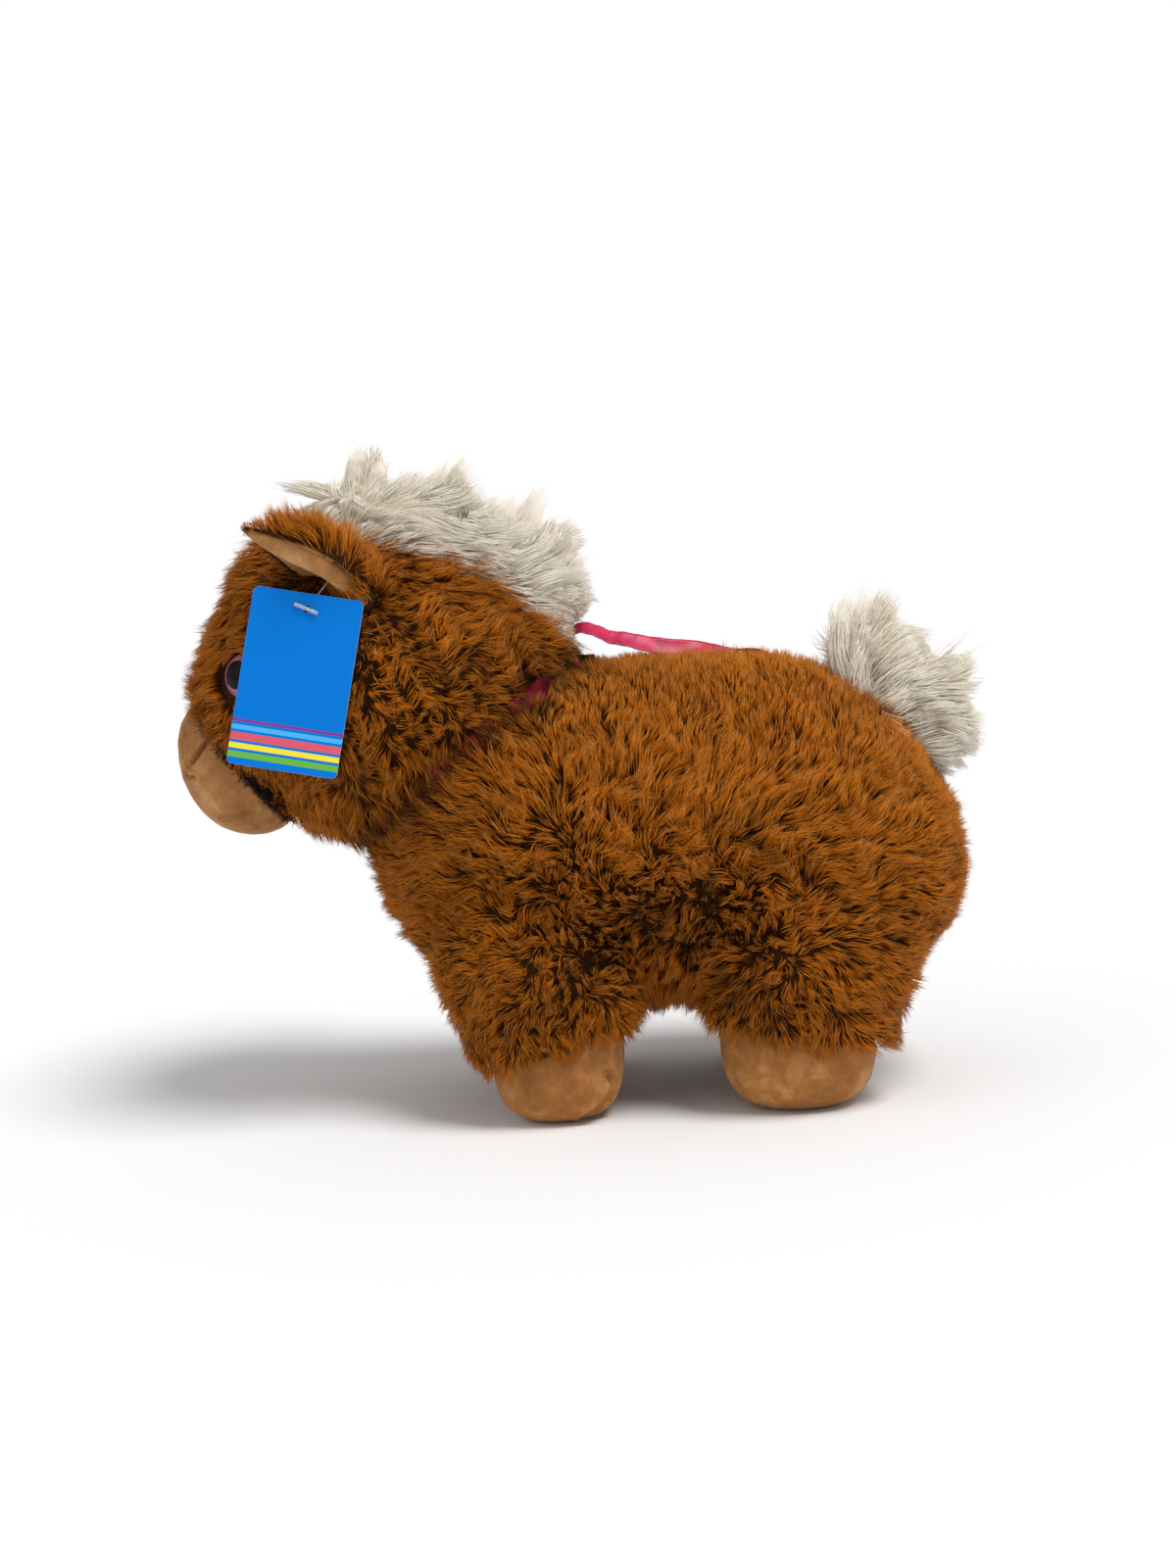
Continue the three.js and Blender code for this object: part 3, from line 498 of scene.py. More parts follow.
MANE_LOCKS = (
    Lock((-117, -8, 308), (-131, -14, 316), (-152, -20, 320), 3, 1.2, 0.3),
    Lock((-116, -5, 310), (-128, -10, 319), (-142, -14, 318), 3, 1.5, 0.3),
    Lock((-114, -10, 307), (-123, -11, 313), (-118, -12, 321), 5, 2, 0.6),
    Lock((-109, -6, 304), (-112, -5, 323), (-108, -4, 337), 6, 2.2, 1.2),
    Lock((-103, -4, 303), (-100, -3, 319), (-96, -2, 330), 6, 3, 1.2),
    Lock((-99, -8, 301), (-92, -7, 311), (-80, -6, 323), 6, 2.5, 1),
    Lock((-117, -15, 314), (-107, -16, 301), (-80, -18, 297), 4, 3, 0.9),
    Lock((-106, -16, 304), (-83, -17, 300), (-59, -18, 287), 5, 3, 1.2),
    Lock((-88, -17, 298), (-66, -18, 293), (-46, -19, 278), 5, 3, 1.2),
    Lock((-84, -6, 297), (-72, -5, 311), (-62, -4, 328), 6, 1.4, 1),
    Lock((-77, -6, 294), (-65, -4, 308), (-54, -2, 330), 6, 1.4, 1),
    Lock((-69, -8, 290), (-59, -8, 301), (-51, -8, 310), 6, 3, 0.8),
    Lock((-53, -18, 307), (-61, -18, 289), (-43, -18, 284), 3, 1.5, 0.5),
    Lock((-59, -8, 284), (-49, -7, 297), (-37, -6, 309), 7, 2.5, 1.2),
    Lock((-52, -10, 280), (-37, -9, 291), (-28, -8, 305), 7, 2.5, 1.2),
    Lock((-45, -6, 275), (-30, -5, 288), (-19, -4, 312), 7, 1.6, 1.3),
    Lock((-39, -8, 271), (-25, -7, 280), (-15, -6, 306), 7, 2, 1.2),
    Lock((-33, -8, 267), (-19, -7, 276), (-8, -6, 288), 7, 2, 1.2),
    Lock((-26, -8, 261), (-11, -7, 267), (0, -6, 277), 7, 2.5, 1.2),
    Lock((-22, -6, 258), (-8, -5, 262), (5, -4, 269), 7, 2.5, 1.3),
    Lock((-19, -10, 254), (-6, -9, 257), (3, -8, 256), 6, 2.5, 1.1),
    Lock((-16, -8, 251), (-7, -8, 249), (-1, -8, 245), 5, 2.5, 1),
    Lock((-15, -10, 248), (-11, -10, 244), (-9, -10, 240), 4, 2, 0.8),
    Lock((-48, -18, 277), (-34, -15, 284), (-21, -12, 296), 6, 3, 1.1),
    Lock((-35, -18, 269), (-22, -15, 277), (-9, -12, 285), 6, 3, 1.1),
    Lock((-24, -18, 259), (-11, -15, 264), (3, -12, 270), 6, 3, 1.1),
    Lock((-112, -8, 309), (-126, -14, 306), (-139, -20, 297), 6, 4, 0.9),
    Lock((-113, -14, 305), (-122, -22, 301), (-130, -27, 292), 6, 4, 0.8),
    Lock((-117, -2, 308), (-130, -4, 305), (-144, -7, 299), 6, 4, 0.8),
)

TAIL_LOCKS = (
    Lock((133, -8, 196), (120, -10, 225), (136, -12, 249), 7, 4, 1.2),
    Lock((138, -10, 197), (129, -9, 226), (152, -8, 249), 8, 4, 1.6),
    Lock((144, -8, 195), (145, -6, 220), (157, -4, 240), 8, 3, 1.2),
    Lock((144, 6, 198), (134, 6, 230), (147, 6, 250), 8, 5, 1.2),
    Lock((151, -10, 193), (154, -11, 208), (158, -12, 222), 7, 3, 0.9),
    Lock((157, -5, 192), (175, -5, 211), (198, -5, 230), 2, 0.8, 0.07),
    Lock((159, -2, 189), (181, -2, 212), (206, -2, 220), 2, 0.8, 0.07),
    Lock((162, -4, 188), (178, -5, 205), (192, -6, 211), 4, 1.5, 0.3),
    Lock((147, -8, 196), (150, -8, 230), (157, -7, 247), 8, 5, 1.4),
    Lock((158, -8, 187), (176, -9, 201), (190, -10, 194), 8, 4, 1.3),
    Lock((160, -12, 184), (179, -11, 189), (193, -10, 177), 8, 3.5, 1.5),
    Lock((163, -8, 180), (179, -7, 176), (199, -6, 165), 7, 2.5, 1.2),
    Lock((168, -4, 175), (178, -4, 166), (191, -4, 156), 6, 2.5, 1),
    Lock((165, -10, 177), (172, -9, 169), (181, -8, 161), 5, 2.5, 0.6),
    Lock((153, 8, 190), (171, 9, 203), (190, 10, 197), 8, 4, 1),
    Lock((163, 8, 181), (178, 8, 177), (194, 8, 170), 7, 3, 1),
    Lock((138, -14, 194), (133, -15, 207), (142, -16, 226), 8, 5, 1.2),
    Lock((148, -14, 191), (153, -16, 198), (164, -17, 205), 8, 5, 1.2),
    Lock((151, 6, 220), (162, 8, 228), (176, 10, 221), 7, 4, 0.8),
    Lock((151, -4, 214), (162, -6, 223), (173, -7, 216), 7, 4, 0.8),
)

# Where a tuft's core draws back, its pile is short and mostly locks stand: circles in the side
# view, in millimetres, each with the place that the core draws back to
Bare = namedtuple("Bare", "centre radius towards")
MANE_BARE = (
    Bare((-146, 322), 30, (-90, 292)),
    Bare((15, 262), 14, (-30, 262)),
)
TAIL_BARE = (
    Bare((192, 246), 33, (150, 190)),
    Bare((210, 204), 19, (150, 190)),
    Bare((213, 180), 20, (150, 190)),
    Bare((213, 160), 12, (150, 190)),
)

# Places in the neck's crease where the collar shows through the coat, x and z in millimetres,
# how far round them the coat is bare, and how far it is from the crease at most
COLLAR_SHOWS = ((-23, 209), (-69, 177))
COLLAR_GAP = 5.5
COLLAR_REACH = 14 * MM

# The neck inside the crease bears no pile: half its length, and its radius
NECK_HALF = 6.5 * MM
NECK_RADIUS = 67 * MM
# Within this radius the coat's fibres are painted darker in the neck's crease, as painted shade
CREASE_SHADE_RADIUS = 84 * MM


def near_places(points, places):
    """How far points are from the nearest of these places in the side view, in millimetres."""
    place = points[:, [0, 2]] / MM
    return np.min([np.linalg.norm(place - np.array(one, float), axis=1) for one in places], axis=0)


def scatter(points, triangles, count, rng):
    """Evenly spread places on a mesh, as three corners and their shares."""
    corners = points[triangles]
    across = np.cross(corners[:, 1] - corners[:, 0], corners[:, 2] - corners[:, 0])
    area = np.linalg.norm(across, axis=1)
    total = np.cumsum(area)
    wanted = (np.arange(count) + rng.uniform(0, 1, count)) / count * total[-1]
    chosen = np.searchsorted(total, wanted).clip(0, len(triangles) - 1)
    first, second = rng.uniform(0, 1, (2, count))
    over = first + second > 1
    first[over] = 1 - first[over]
    second[over] = 1 - second[over]
    shares = np.stack([1 - first - second, first, second], 1)
    return triangles[chosen], shares


def spread(values, corners, shares):
    """Values of a mesh's points at scattered places."""
    return (values[corners] * shares[:, :, None]).sum(1)


def on_collar(edge):
    """Where the collar shows and the coat leaves it bare."""
    ahead, _ = about_neck(edge)
    return (near_places(edge, COLLAR_SHOWS) < COLLAR_GAP) & (np.abs(ahead) < COLLAR_REACH)


def coat_roots(form, depth, count, rng):
    """Sinks the form to the backing's depth. Gives the roots on it, where each stands on the
    coat's outline, and its normal."""
    outline, normal = points_of(form), normals_of(form)
    place_points(form, outline - normal * depth[:, None])
    backing = points_of(form)
    corners, shares = scatter(backing, triangles_of(form), count, rng)
    root, edge = spread(backing, corners, shares), spread(outline, corners, shares)
    return root, edge, unit(spread(normal, corners, shares))


def comb(outline, normals, flow, reach, crease, shun, upright, rng):
    """How the pile lies at each root, from the flow values near it. It turns away from the
    solids in shun, and where upright holds it may also stand off the form."""
    place = outline[:, [0, 2]] / MM
    guides = np.array([(g.x, g.z) for g in flow], float)
    apart = ((place[:, None, :] - guides[None]) ** 2).sum(2)
    weight = np.exp(-(apart - apart.min(1, keepdims=True)) / (2 * reach ** 2))
    weight /= weight.sum(1, keepdims=True)
    angle = np.radians([g.angle for g in flow])
    way = np.stack([weight @ np.cos(angle), np.zeros(len(place)), weight @ np.sin(angle)], 1)
    parted = 1 - np.linalg.norm(way, axis=1).clip(0, 1)
    lift = np.radians(weight @ np.array([g.lift for g in flow], float) + 45 * parted)
    length = weight @ np.array([g.length for g in flow], float) * MM
    tangle = weight @ np.array([g.tangle for g in flow], float)
    way = unit(way)
    ahead, _ = about_neck(outline)
    across = np.interp(np.abs(ahead), [7 * MM, 20 * MM], [1.5, 0]) * crease
    across *= np.interp(near_places(outline, COLLAR_SHOWS), [9, 20], [-0.3, 1])
    way = unit(way - neck()[1] * (np.sign(ahead) * across)[:, None])
    for nodes, distance, strength in shun:
        tree = tree_of(*nodes)
        near = [tree.find_nearest(p) for p in outline]
        away = outline - np.array([found[0] for found in near])
        push = np.interp([found[3] for found in near], [0.3 * distance, distance], [strength, 0])
        way = unit(way + unit(away) * push[:, None])
    way += 0.22 * np.stack([ripple(outline, 30 * MM, rng) for _ in range(3)], 1)
    outward = (way * normals).sum(1, keepdims=True)
    if upright:
        length *= 1 - 0.72 * outward[:, 0].clip(0, 1)
        outward = np.minimum(outward, 0)
    flat = way - outward * normals
    turn = np.radians(14 + 62 * tangle) * ripple(outline, 21 * MM, rng)
    turn += np.radians(6 + 40 * tangle) * ripple(outline, 9 * MM, rng)
    if upright:
        turn *= 0.4
    flat = flat * np.cos(turn)[:, None] + np.cross(normals, flat) * np.sin(turn)[:, None]
    return flat, lift, length, tangle


def nearest_of(points, centres):
    tree = KDTree(len(centres))
    for number, centre in enumerate(centres):
        tree.insert(centre, number)
    tree.balance()
    return np.array([tree.find(p)[1] for p in points])


def grow(root, normal, flat, lift, length, coat, rng):
    """The curve of each fibre: it leaves the backing steeply, and lies over towards its tip."""
    count = len(root)
    curves = np.empty((count, coat.steps, 3))
    curves[:, 0] = root
    place = root.copy()
    share = 1 / (coat.steps - 1)
    wobble = unit(rng.normal(size=(count, 3))) * coat.waviness
    for step in range(1, coat.steps):
        middle = (step - 0.5) * share
        rise = lift + coat.bend * (0.9 - 1.6 * middle)
        way = flat * np.cos(rise)[:, None] + normal * np.sin(rise)[:, None]
        way = unit(way + wobble * (middle - 0.3))
        place = place + way * (length * share)[:, None]
        curves[:, step] = place
    return curves


def gather(curves, leader, pull, rng):
    """Draws the fibres of a tuft towards the one that leads it, more so at their tips."""
    steps = np.linspace(0, 1, curves.shape[1])[None, :, None] ** 1.3
    hold = pull * rng.uniform(0.55, 1.25, len(curves)).clip(0, 1.2)
    hold = np.minimum(hold, 0.95)[:, None, None]
    return curves + (curves[leader] - curves) * steps * hold


def coat_curves(root, outline, normal, flow, coat, rng, reach=22, crease=0, shun=(), upright=False):
    """Combed, tufted fibres from these roots, with a tone for each. Where crease is set, fibres near
    the neck's crease are darker, as painted shade.
    """
    flat, lift, length, tangle = comb(outline, normal, flow, reach, crease, shun, upright, rng)
    count = len(root)
    leaders = rng.choice(count, max(4, int(count * coat.tuft)), replace=False)
    chiefs = rng.choice(count, max(2, int(count * coat.clump)), replace=False)
    leader = leaders[nearest_of(root, root[leaders])]
    chief = chiefs[nearest_of(root, root[chiefs])]
    turn = rng.normal(size=count)
    tilt = rng.normal(size=count)
    reach_out = rng.normal(size=count)
    swirl = 0.5 * turn + (1 + 2.2 * tangle) * turn[leader] + 0.8 * (0.4 + tangle) * turn[chief]
    turn = np.radians(coat.swirl) * swirl
    flat = flat * np.cos(turn)[:, None] + np.cross(normal, flat) * np.sin(turn)[:, None]
    lift = lift + np.radians(4) * tilt + np.radians(6 + 8 * tangle) * tilt[leader]
    length = length * (1 + 0.07 * reach_out + 0.1 * reach_out[leader])
    curves = grow(root, normal, flat, lift, length, coat, rng)
    curves = gather(curves, chief, coat.clump_pull * (0.5 + tangle), rng)
    curves = gather(curves, leader, coat.pull * (0.4 + 1.1 * tangle), rng)
    tone = 0.52 + 0.17 * rng.normal(size=count) + 0.1 * rng.normal(size=count)[leader]
    tone += 0.22 * tangle * rng.normal(size=count)[chief]
    tone += 0.09 * ripple(outline, 45 * MM, rng) - 0.18 * (tangle - 0.3).clip(0, 1)
    ahead, out = about_neck(outline)
    # Painted shade: fibres near the neck's crease get a darker tone
    tone -= 0.7 * crease * np.exp(-(ahead / (10 * MM)) ** 2) * (out < CREASE_SHADE_RADIUS)
    curves[:, :, 2] = np.maximum(curves[:, :, 2], 0.7 * MM)
    return curves, tone.clip(0.02, 0.98)


def shortened(curves, share):
    """The curves, each drawn back to its root by its share."""
    return curves[:, :1] + (curves - curves[:, :1]) * share[:, None, None]


def card_frame():
    """The card's hole, and the ways across, up and out of its printed face."""
    hole, out = joint_place("tag_swing")
    level = Vector((1, 0, 0))
    lean = math.radians(CARD_LEAN)
    flat = (level - out * level.dot(out)).normalized()
    across = (flat * math.cos(lean) - out.cross(flat) * math.sin(lean)).normalized()
    return hole, across, out.cross(across).normalized(), out


def clear_of_card(curves):
    """Fibres that end behind the card and don't touch it."""
    hole, across, up, out = (np.array(part) for part in card_frame())
    place = curves - hole
    beside = (np.abs(place @ across) < CARD_WIDTH / 2 + MM) & (place @ up > -CARD_HEIGHT + 6 * MM)
    beside &= place @ up < CARD_HOLE_INSET + MM
    return ~(beside & (place @ out > -1.5 * MM)).any(1)


def fibre_mesh(name, curves, normal, width, tone):
    """Closed fibres that taper to a point at either end, three-sided in between. The map holds
    each fibre's tone across and the way from root to tip up."""
    count, steps, _ = curves.shape
    along = unit(np.gradient(curves, axis=1))
    side = unit(np.cross(along, normal[:, None, :]))
    ridge = np.cross(side, along)
    share = np.linspace(0, 1, steps)
    swell = np.interp(share, [0, 0.3, 0.5, 0.75, 1], [0.7, 1, 1, 0.72, 0])
    half = (width / 2)[:, None, None] * swell[None, :, None]
    rings = np.stack([curves - side * half, curves + ridge * half * 0.85, curves + side * half], 2)
    body = rings[:, 1:-1].reshape(count, -1, 3)
    verts = np.concatenate([curves[:, :1], body, curves[:, -1:]], 1)
    each = verts.shape[1]
    loops, sizes = [], []
    for j in range(3):
        loops += [0, 1 + (j + 1) % 3, 1 + j]
        sizes.append(3)
    for ring in range(steps - 3):
        low, high = 1 + 3 * ring, 4 + 3 * ring
        for j in range(3):
            k = (j + 1) % 3
            loops += [low + j, low + k, high + k, high + j]
            sizes.append(4)
    last = 1 + 3 * (steps - 3)
    for j in range(3):
        loops += [last + j, last + (j + 1) % 3, each - 1]
        sizes.append(3)
    loops, sizes = np.array(loops), np.array(sizes)
    starts = np.concatenate([[0], np.cumsum(sizes)[:-1]])
    ups = np.concatenate([[0.0], np.repeat(share[1:-1], 3), [1.0]])
    mesh = bpy.data.meshes.new(name)
    mesh.vertices.add(count * each)
    mesh.vertices.foreach_set("co", verts.ravel())
    mesh.loops.add(count * len(loops))
    corners = (np.arange(count)[:, None] * each + loops).ravel().astype(np.int32)
    mesh.loops.foreach_set("vertex_index", corners)
    mesh.polygons.add(count * len(sizes))
    first = (np.arange(count)[:, None] * len(loops) + starts).ravel().astype(np.int32)
    mesh.polygons.foreach_set("loop_start", first)
    mesh.polygons.foreach_set("use_smooth", np.ones(count * len(sizes), bool))
    layer = mesh.uv_layers.new(name="OFBake")
    across = np.repeat(tone[:, None], len(loops), 1)
    up = np.repeat(ups[loops][None] * 0.96 + 0.02, count, 0)
    layer.data.foreach_set("uv", np.stack([across, up], 2).ravel().astype(np.float32))
    mesh.update(calc_edges=True)
    mesh.validate()
    return add_object(name, mesh)


def lock_curves(locks, ground, count, rng):
    """The fibres of these locks. Each keeps its place in its lock's section, which draws in
    towards the tip, and starts on the ground that carries it. Fibres towards a lock's middle are
    darker, as painted shade."""
    share = np.array([lock.share for lock in locks])
    numbers = np.round(share / share.sum() * count).astype(int)
    curves, tones = [], []
    for lock, number in zip(locks, numbers):
        start, over, end = (np.array(place, float) * MM for place in lock[:3])
        turn = rng.uniform(0, 2 * math.pi, number)
        out = np.sqrt(rng.uniform(0, 1, number))
        reach = 1 - 0.45 * out * rng.uniform(0, 1, number) - 0.12 * rng.uniform(0, 1, number)
        t = np.linspace(0, 1, LOCK_STEPS)[None, :] * reach[:, None]
        t = t[:, :, None]
        middle = (1 - t) ** 2 * start + 2 * t * (1 - t) * over + t * t * end
        ahead = unit((1 - t) * (over - start) + t * (end - over) + 1e-9)
        flat = unit(np.cross(ahead, (0.0, 1, 0)))
        deep = np.cross(flat, ahead)
        radius = (lock.thick * (1 - t) + 0.6 * lock.thin * t + 0.7 * np.sin(math.pi * t)) * MM
        twist = 0.35 * np.sin(3 * t + rng.uniform(0, 6))
        angle = turn[:, None, None] + twist
        offset = np.cos(angle) * flat + np.sin(angle) * deep
        stray = rng.exponential(1.3 * MM, number)
        stray = stray * np.where(rng.uniform(0, 1, number) < 0.06, 2.5, 1)
        frizz = unit(rng.normal(size=(number, 1, 3))) * t ** 1.7 * stray[:, None, None]
        wave = rng.normal(size=3) * np.sin(5 * t + rng.uniform(0, 6)) * t * 0.7 * MM
        lines = middle + offset * radius * out[:, None, None] + frizz + wave
        for line in lines:
            place, facing, _, _ = ground.find_nearest(line[0])
            line[0] = np.array(place) - np.array(facing) * 0.8 * MM
        curves.append(lines)
        # Painted shade: fibres towards a lock's middle get a darker tone
        tones.append(0.66 - 0.2 * (1 - out) + 0.12 * rng.normal(size=number) + 0.05 * rng.normal())
    return np.concatenate(curves), np.concatenate(tones).clip(0.25, 0.98)


def mirrored(locks, share, rng):
    """The same locks on the far side, a little different and with this share of the fibres."""
    found = []
    for lock in locks:
        places = []
        for strength, place in zip((0.5, 2.0, 3.0), lock[:3]):
            moved = np.array(place, float) * (1, -1, 1) + rng.normal(size=3) * strength
            places.append(tuple(moved))
        found.append(Lock(*places, lock.thick, lock.thin, lock.share * share))
    return tuple(found)


def press_groove(piece, line, depth, width):
    """Presses a crease along a line in the side view, x and z in millimetres, on both sides,
    with a low lip along either edge."""
    points, normal = points_of(piece), normals_of(piece)
    place = points[:, [0, 2]] / MM
    near = np.full(len(points), 1e3)
    for start, end in zip(np.array(line, float)[:-1], np.array(line, float)[1:]):
        way = end - start
        share = ((place - start) @ way / (way @ way)).clip(0, 1)
        near = np.minimum(near, np.linalg.norm(place - start - share[:, None] * way, axis=1))
    ends = [np.linalg.norm(place - np.array(end, float), axis=1) for end in (line[0], line[-1])]
    taper = np.minimum(*ends)
    fade = np.interp(taper, [0, 2.5 * width], [0.25, 1])
    fade = fade * np.interp(np.abs(normal[:, 1]), [0.1, 0.5], [0, 1])
    press = np.exp(-(near / width) ** 2) - 0.35 * np.exp(-((near - 2.1 * width) / width) ** 2)
    place_points(piece, points - normal * (press * fade * depth * MM)[:, None])


def set_inputs(node, **values):
    for name, value in values.items():
        socket = node.inputs[name.replace("_", " ")]
        socket.default_value = (*value, 1) if socket.type == "RGBA" and len(value) == 3 else value
    return node


def new_material(name):
    material = bpy.data.materials.new(name)
    material.use_nodes = True
    tree = material.node_tree
    return material, tree, tree.nodes["Principled BSDF"]


def add_node(tree, kind, *sources, **settings):
    """A shader node with these settings, its first inputs linked to these outputs."""
    node = tree.nodes.new(f"ShaderNode{kind}")
    for name, value in settings.items():
        setattr(node, name, value)
    for source, socket in zip(sources, node.inputs):
        tree.links.new(source, socket)
    return node


def add_ramp(tree, factor, stops):
    """A colour ramp over a factor, from places and linear colours."""
    ramp = add_node(tree, "ValToRGB", factor)
    elements = ramp.color_ramp.elements
    while len(elements) < len(stops):
        elements.new(0.5)
    for element, (place, colour) in zip(elements, stops):
        element.position = place
        element.color = (*colour, 1)
    return ramp.outputs["Color"]


def multiplied(tree, share, first, second):
    """One colour multiplied by the other, as far as the share goes."""
    mix = add_node(tree, "Mix", data_type="RGBA", blend_type="MULTIPLY")
    mix.inputs[0].default_value = share
    tree.links.new(first, mix.inputs[6])
    tree.links.new(second, mix.inputs[7])
    return mix.outputs[2]


def shade(colour, amount):
    return tuple(min(1, c * amount) for c in colour)


def fibre_material(name, root, middle, tip, contrast, roughness):
    """Pile: dark at the root, as painted shade between the fibres, and pale at the tip, partly the
    pile's own colour and partly a painted highlight, with a tone of its own for each fibre.
    """
    material, tree, shader = new_material(name)
    place = add_node(tree, "UVMap", uv_map="OFBake").outputs["UV"]
    parts = add_node(tree, "SeparateXYZ", place)
    # Painted shade towards the root, and in part a painted highlight at the tip
    along = add_ramp(tree, parts.outputs["Y"], [(0, root), (0.42, middle), (0.8, middle), (1, tip)])
    low, high = 1 - contrast, 1 + contrast
    tones = [(0, 0.3 * low), (0.18, low), (0.5, 1 / high ** 0.3), (1, 1)]
    tone = add_ramp(tree, parts.outputs["X"], [(at, (share,) * 3) for at, share in tones])
    tree.links.new(multiplied(tree, 1.0, along, tone), shader.inputs["Base Color"])
    set_inputs(shader, Roughness=roughness, Specular_IOR_Level=0.18)
    return material


def noise_at(tree, scale, detail, roughness=0.55, stretch=(1, 1, 1), turn=(0, 0, 0)):
    """Noise over the piece in its own coordinates."""
    place = add_node(tree, "TexCoord").outputs["Object"]
    mapping = set_inputs(add_node(tree, "Mapping", place), Scale=stretch, Rotation=turn)
    noise = add_node(tree, "TexNoise", mapping.outputs["Vector"])
    set_inputs(noise, Scale=scale, Detail=detail, Roughness=roughness)
    return noise.outputs["Fac"]


def add_bump(tree, shader, height, distance, strength):
    bump = set_inputs(add_node(tree, "Bump"), Distance=distance, Strength=strength)
    tree.links.new(height, bump.inputs["Height"])
    if shader.inputs["Normal"].is_linked:
        tree.links.new(shader.inputs["Normal"].links[0].from_socket, bump.inputs["Normal"])
    tree.links.new(bump.outputs["Normal"], shader.inputs["Normal"])


def cloudy_material(name, scale, detail, low, high, bump=None, **values):
    """A colour that goes between two tones, with a bump of this distance and strength."""
    material, tree, shader = new_material(name)
    cloud = noise_at(tree, scale, detail)
    tree.links.new(add_ramp(tree, cloud, [(0.3, low), (0.7, high)]), shader.inputs["Base Color"])
    set_inputs(shader, **values)
    if bump:
        add_bump(tree, shader, cloud, *bump)
    return material


def backing_material(name, colour, contrast):
    """Knitted backing, seen only between the fibres."""
    low, high = shade(colour, 1 - contrast), shade(colour, 1 + contrast)
    knit = {"Roughness": 0.9, "Specular_IOR_Level": 0.1}
    return cloudy_material(name, 420, 3, low, high, (1 * MM, contrast), **knit)


def plush_material(name, dark, middle, light):
    """Short plush: soft random patches where the nap is brushed either way, painted lighter as
    sheen and darker as shade, and a fine nap.
    """
    material, tree, shader = new_material(name)
    patches = noise_at(tree, 42, 7, 0.7)
    streaks = noise_at(tree, 170, 5, 0.65, stretch=(1, 1, 0.4), turn=(0, 0.6, 0))
    nap = noise_at(tree, 1500, 2)
    base = add_ramp(tree, patches, [(0.3, dark), (0.5, middle), (0.7, light)])
    veil = add_ramp(tree, streaks, [(0.3, (0.78,) * 3), (0.7, (1.0,) * 3)])
    grain = add_ramp(tree, nap, [(0.25, (0.84,) * 3), (0.75, (1.0,) * 3)])
    tint = multiplied(tree, 0.8, base, veil)
    tree.links.new(multiplied(tree, 1.0, tint, grain), shader.inputs["Base Color"])
    set_inputs(shader, Roughness=0.85, Specular_IOR_Level=0.2, Sheen_Weight=0.3, Sheen_Roughness=0.35)
    set_inputs(shader, Sheen_Tint=linear("#F0D2A8"))
    add_bump(tree, shader, streaks, 0.6 * MM, 0.5)
    add_bump(tree, shader, nap, 0.25 * MM, 0.6)
    return material


def materials():
    """The finishes that several pieces share, made once."""
    if "chestnut_pile" in bpy.data.materials:
        return bpy.data.materials
    scene = bpy.context.scene
    pile, plush = scene.pony_pile, scene.pony_plush
    fibre_material("chestnut_pile", pile.root, pile.middle, pile.tip, 0.45, 0.5)
    fibre_material("long_white_pile", pile.silk_root, pile.silk_middle, pile.silk_tip, 0.08, 0.4)
    # Both backings are darker than their pile: painted shade seen between the fibres. The white one
    # is darkened to the shaded fibres' average.
    backing_material("chestnut_backing", pile.backing, 0.5)
    backing_material("white_backing", shade(pile.silk_root, 0.78), 0.15)
    plush_material("short_tan_plush", plush.tan_dark, plush.tan, plush.tan_light)
    plush_material("short_hoof_plush", plush.hoof_dark, plush.hoof, plush.hoof_light)
    seam = tuple(plush.seam)
    fibre_material("dark_seam_fuzz", shade(seam, 0.6), seam, shade(seam, 1.6), 0.4, 0.6)
    return bpy.data.materials


def wear(piece, *finishes):
    piece.data.materials.clear()
    for finish in finishes:
        piece.data.materials.append(finish)


def stand_for(piece, body, node=None):
    """Gives the piece its body and the solid that it stands for."""
    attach(piece, body)
    if node:
        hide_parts(node)


def dress(piece, finish, body, node=None):
    wear(piece, finish)
    stand_for(piece, body, node)


# How far the camera looks behind the pony's middle
AIM_BEHIND = 2.4 * MM

# Where the floor starts to turn white round the pony, and where it is white
FADE_START = 0.42
FADE_END = 0.9


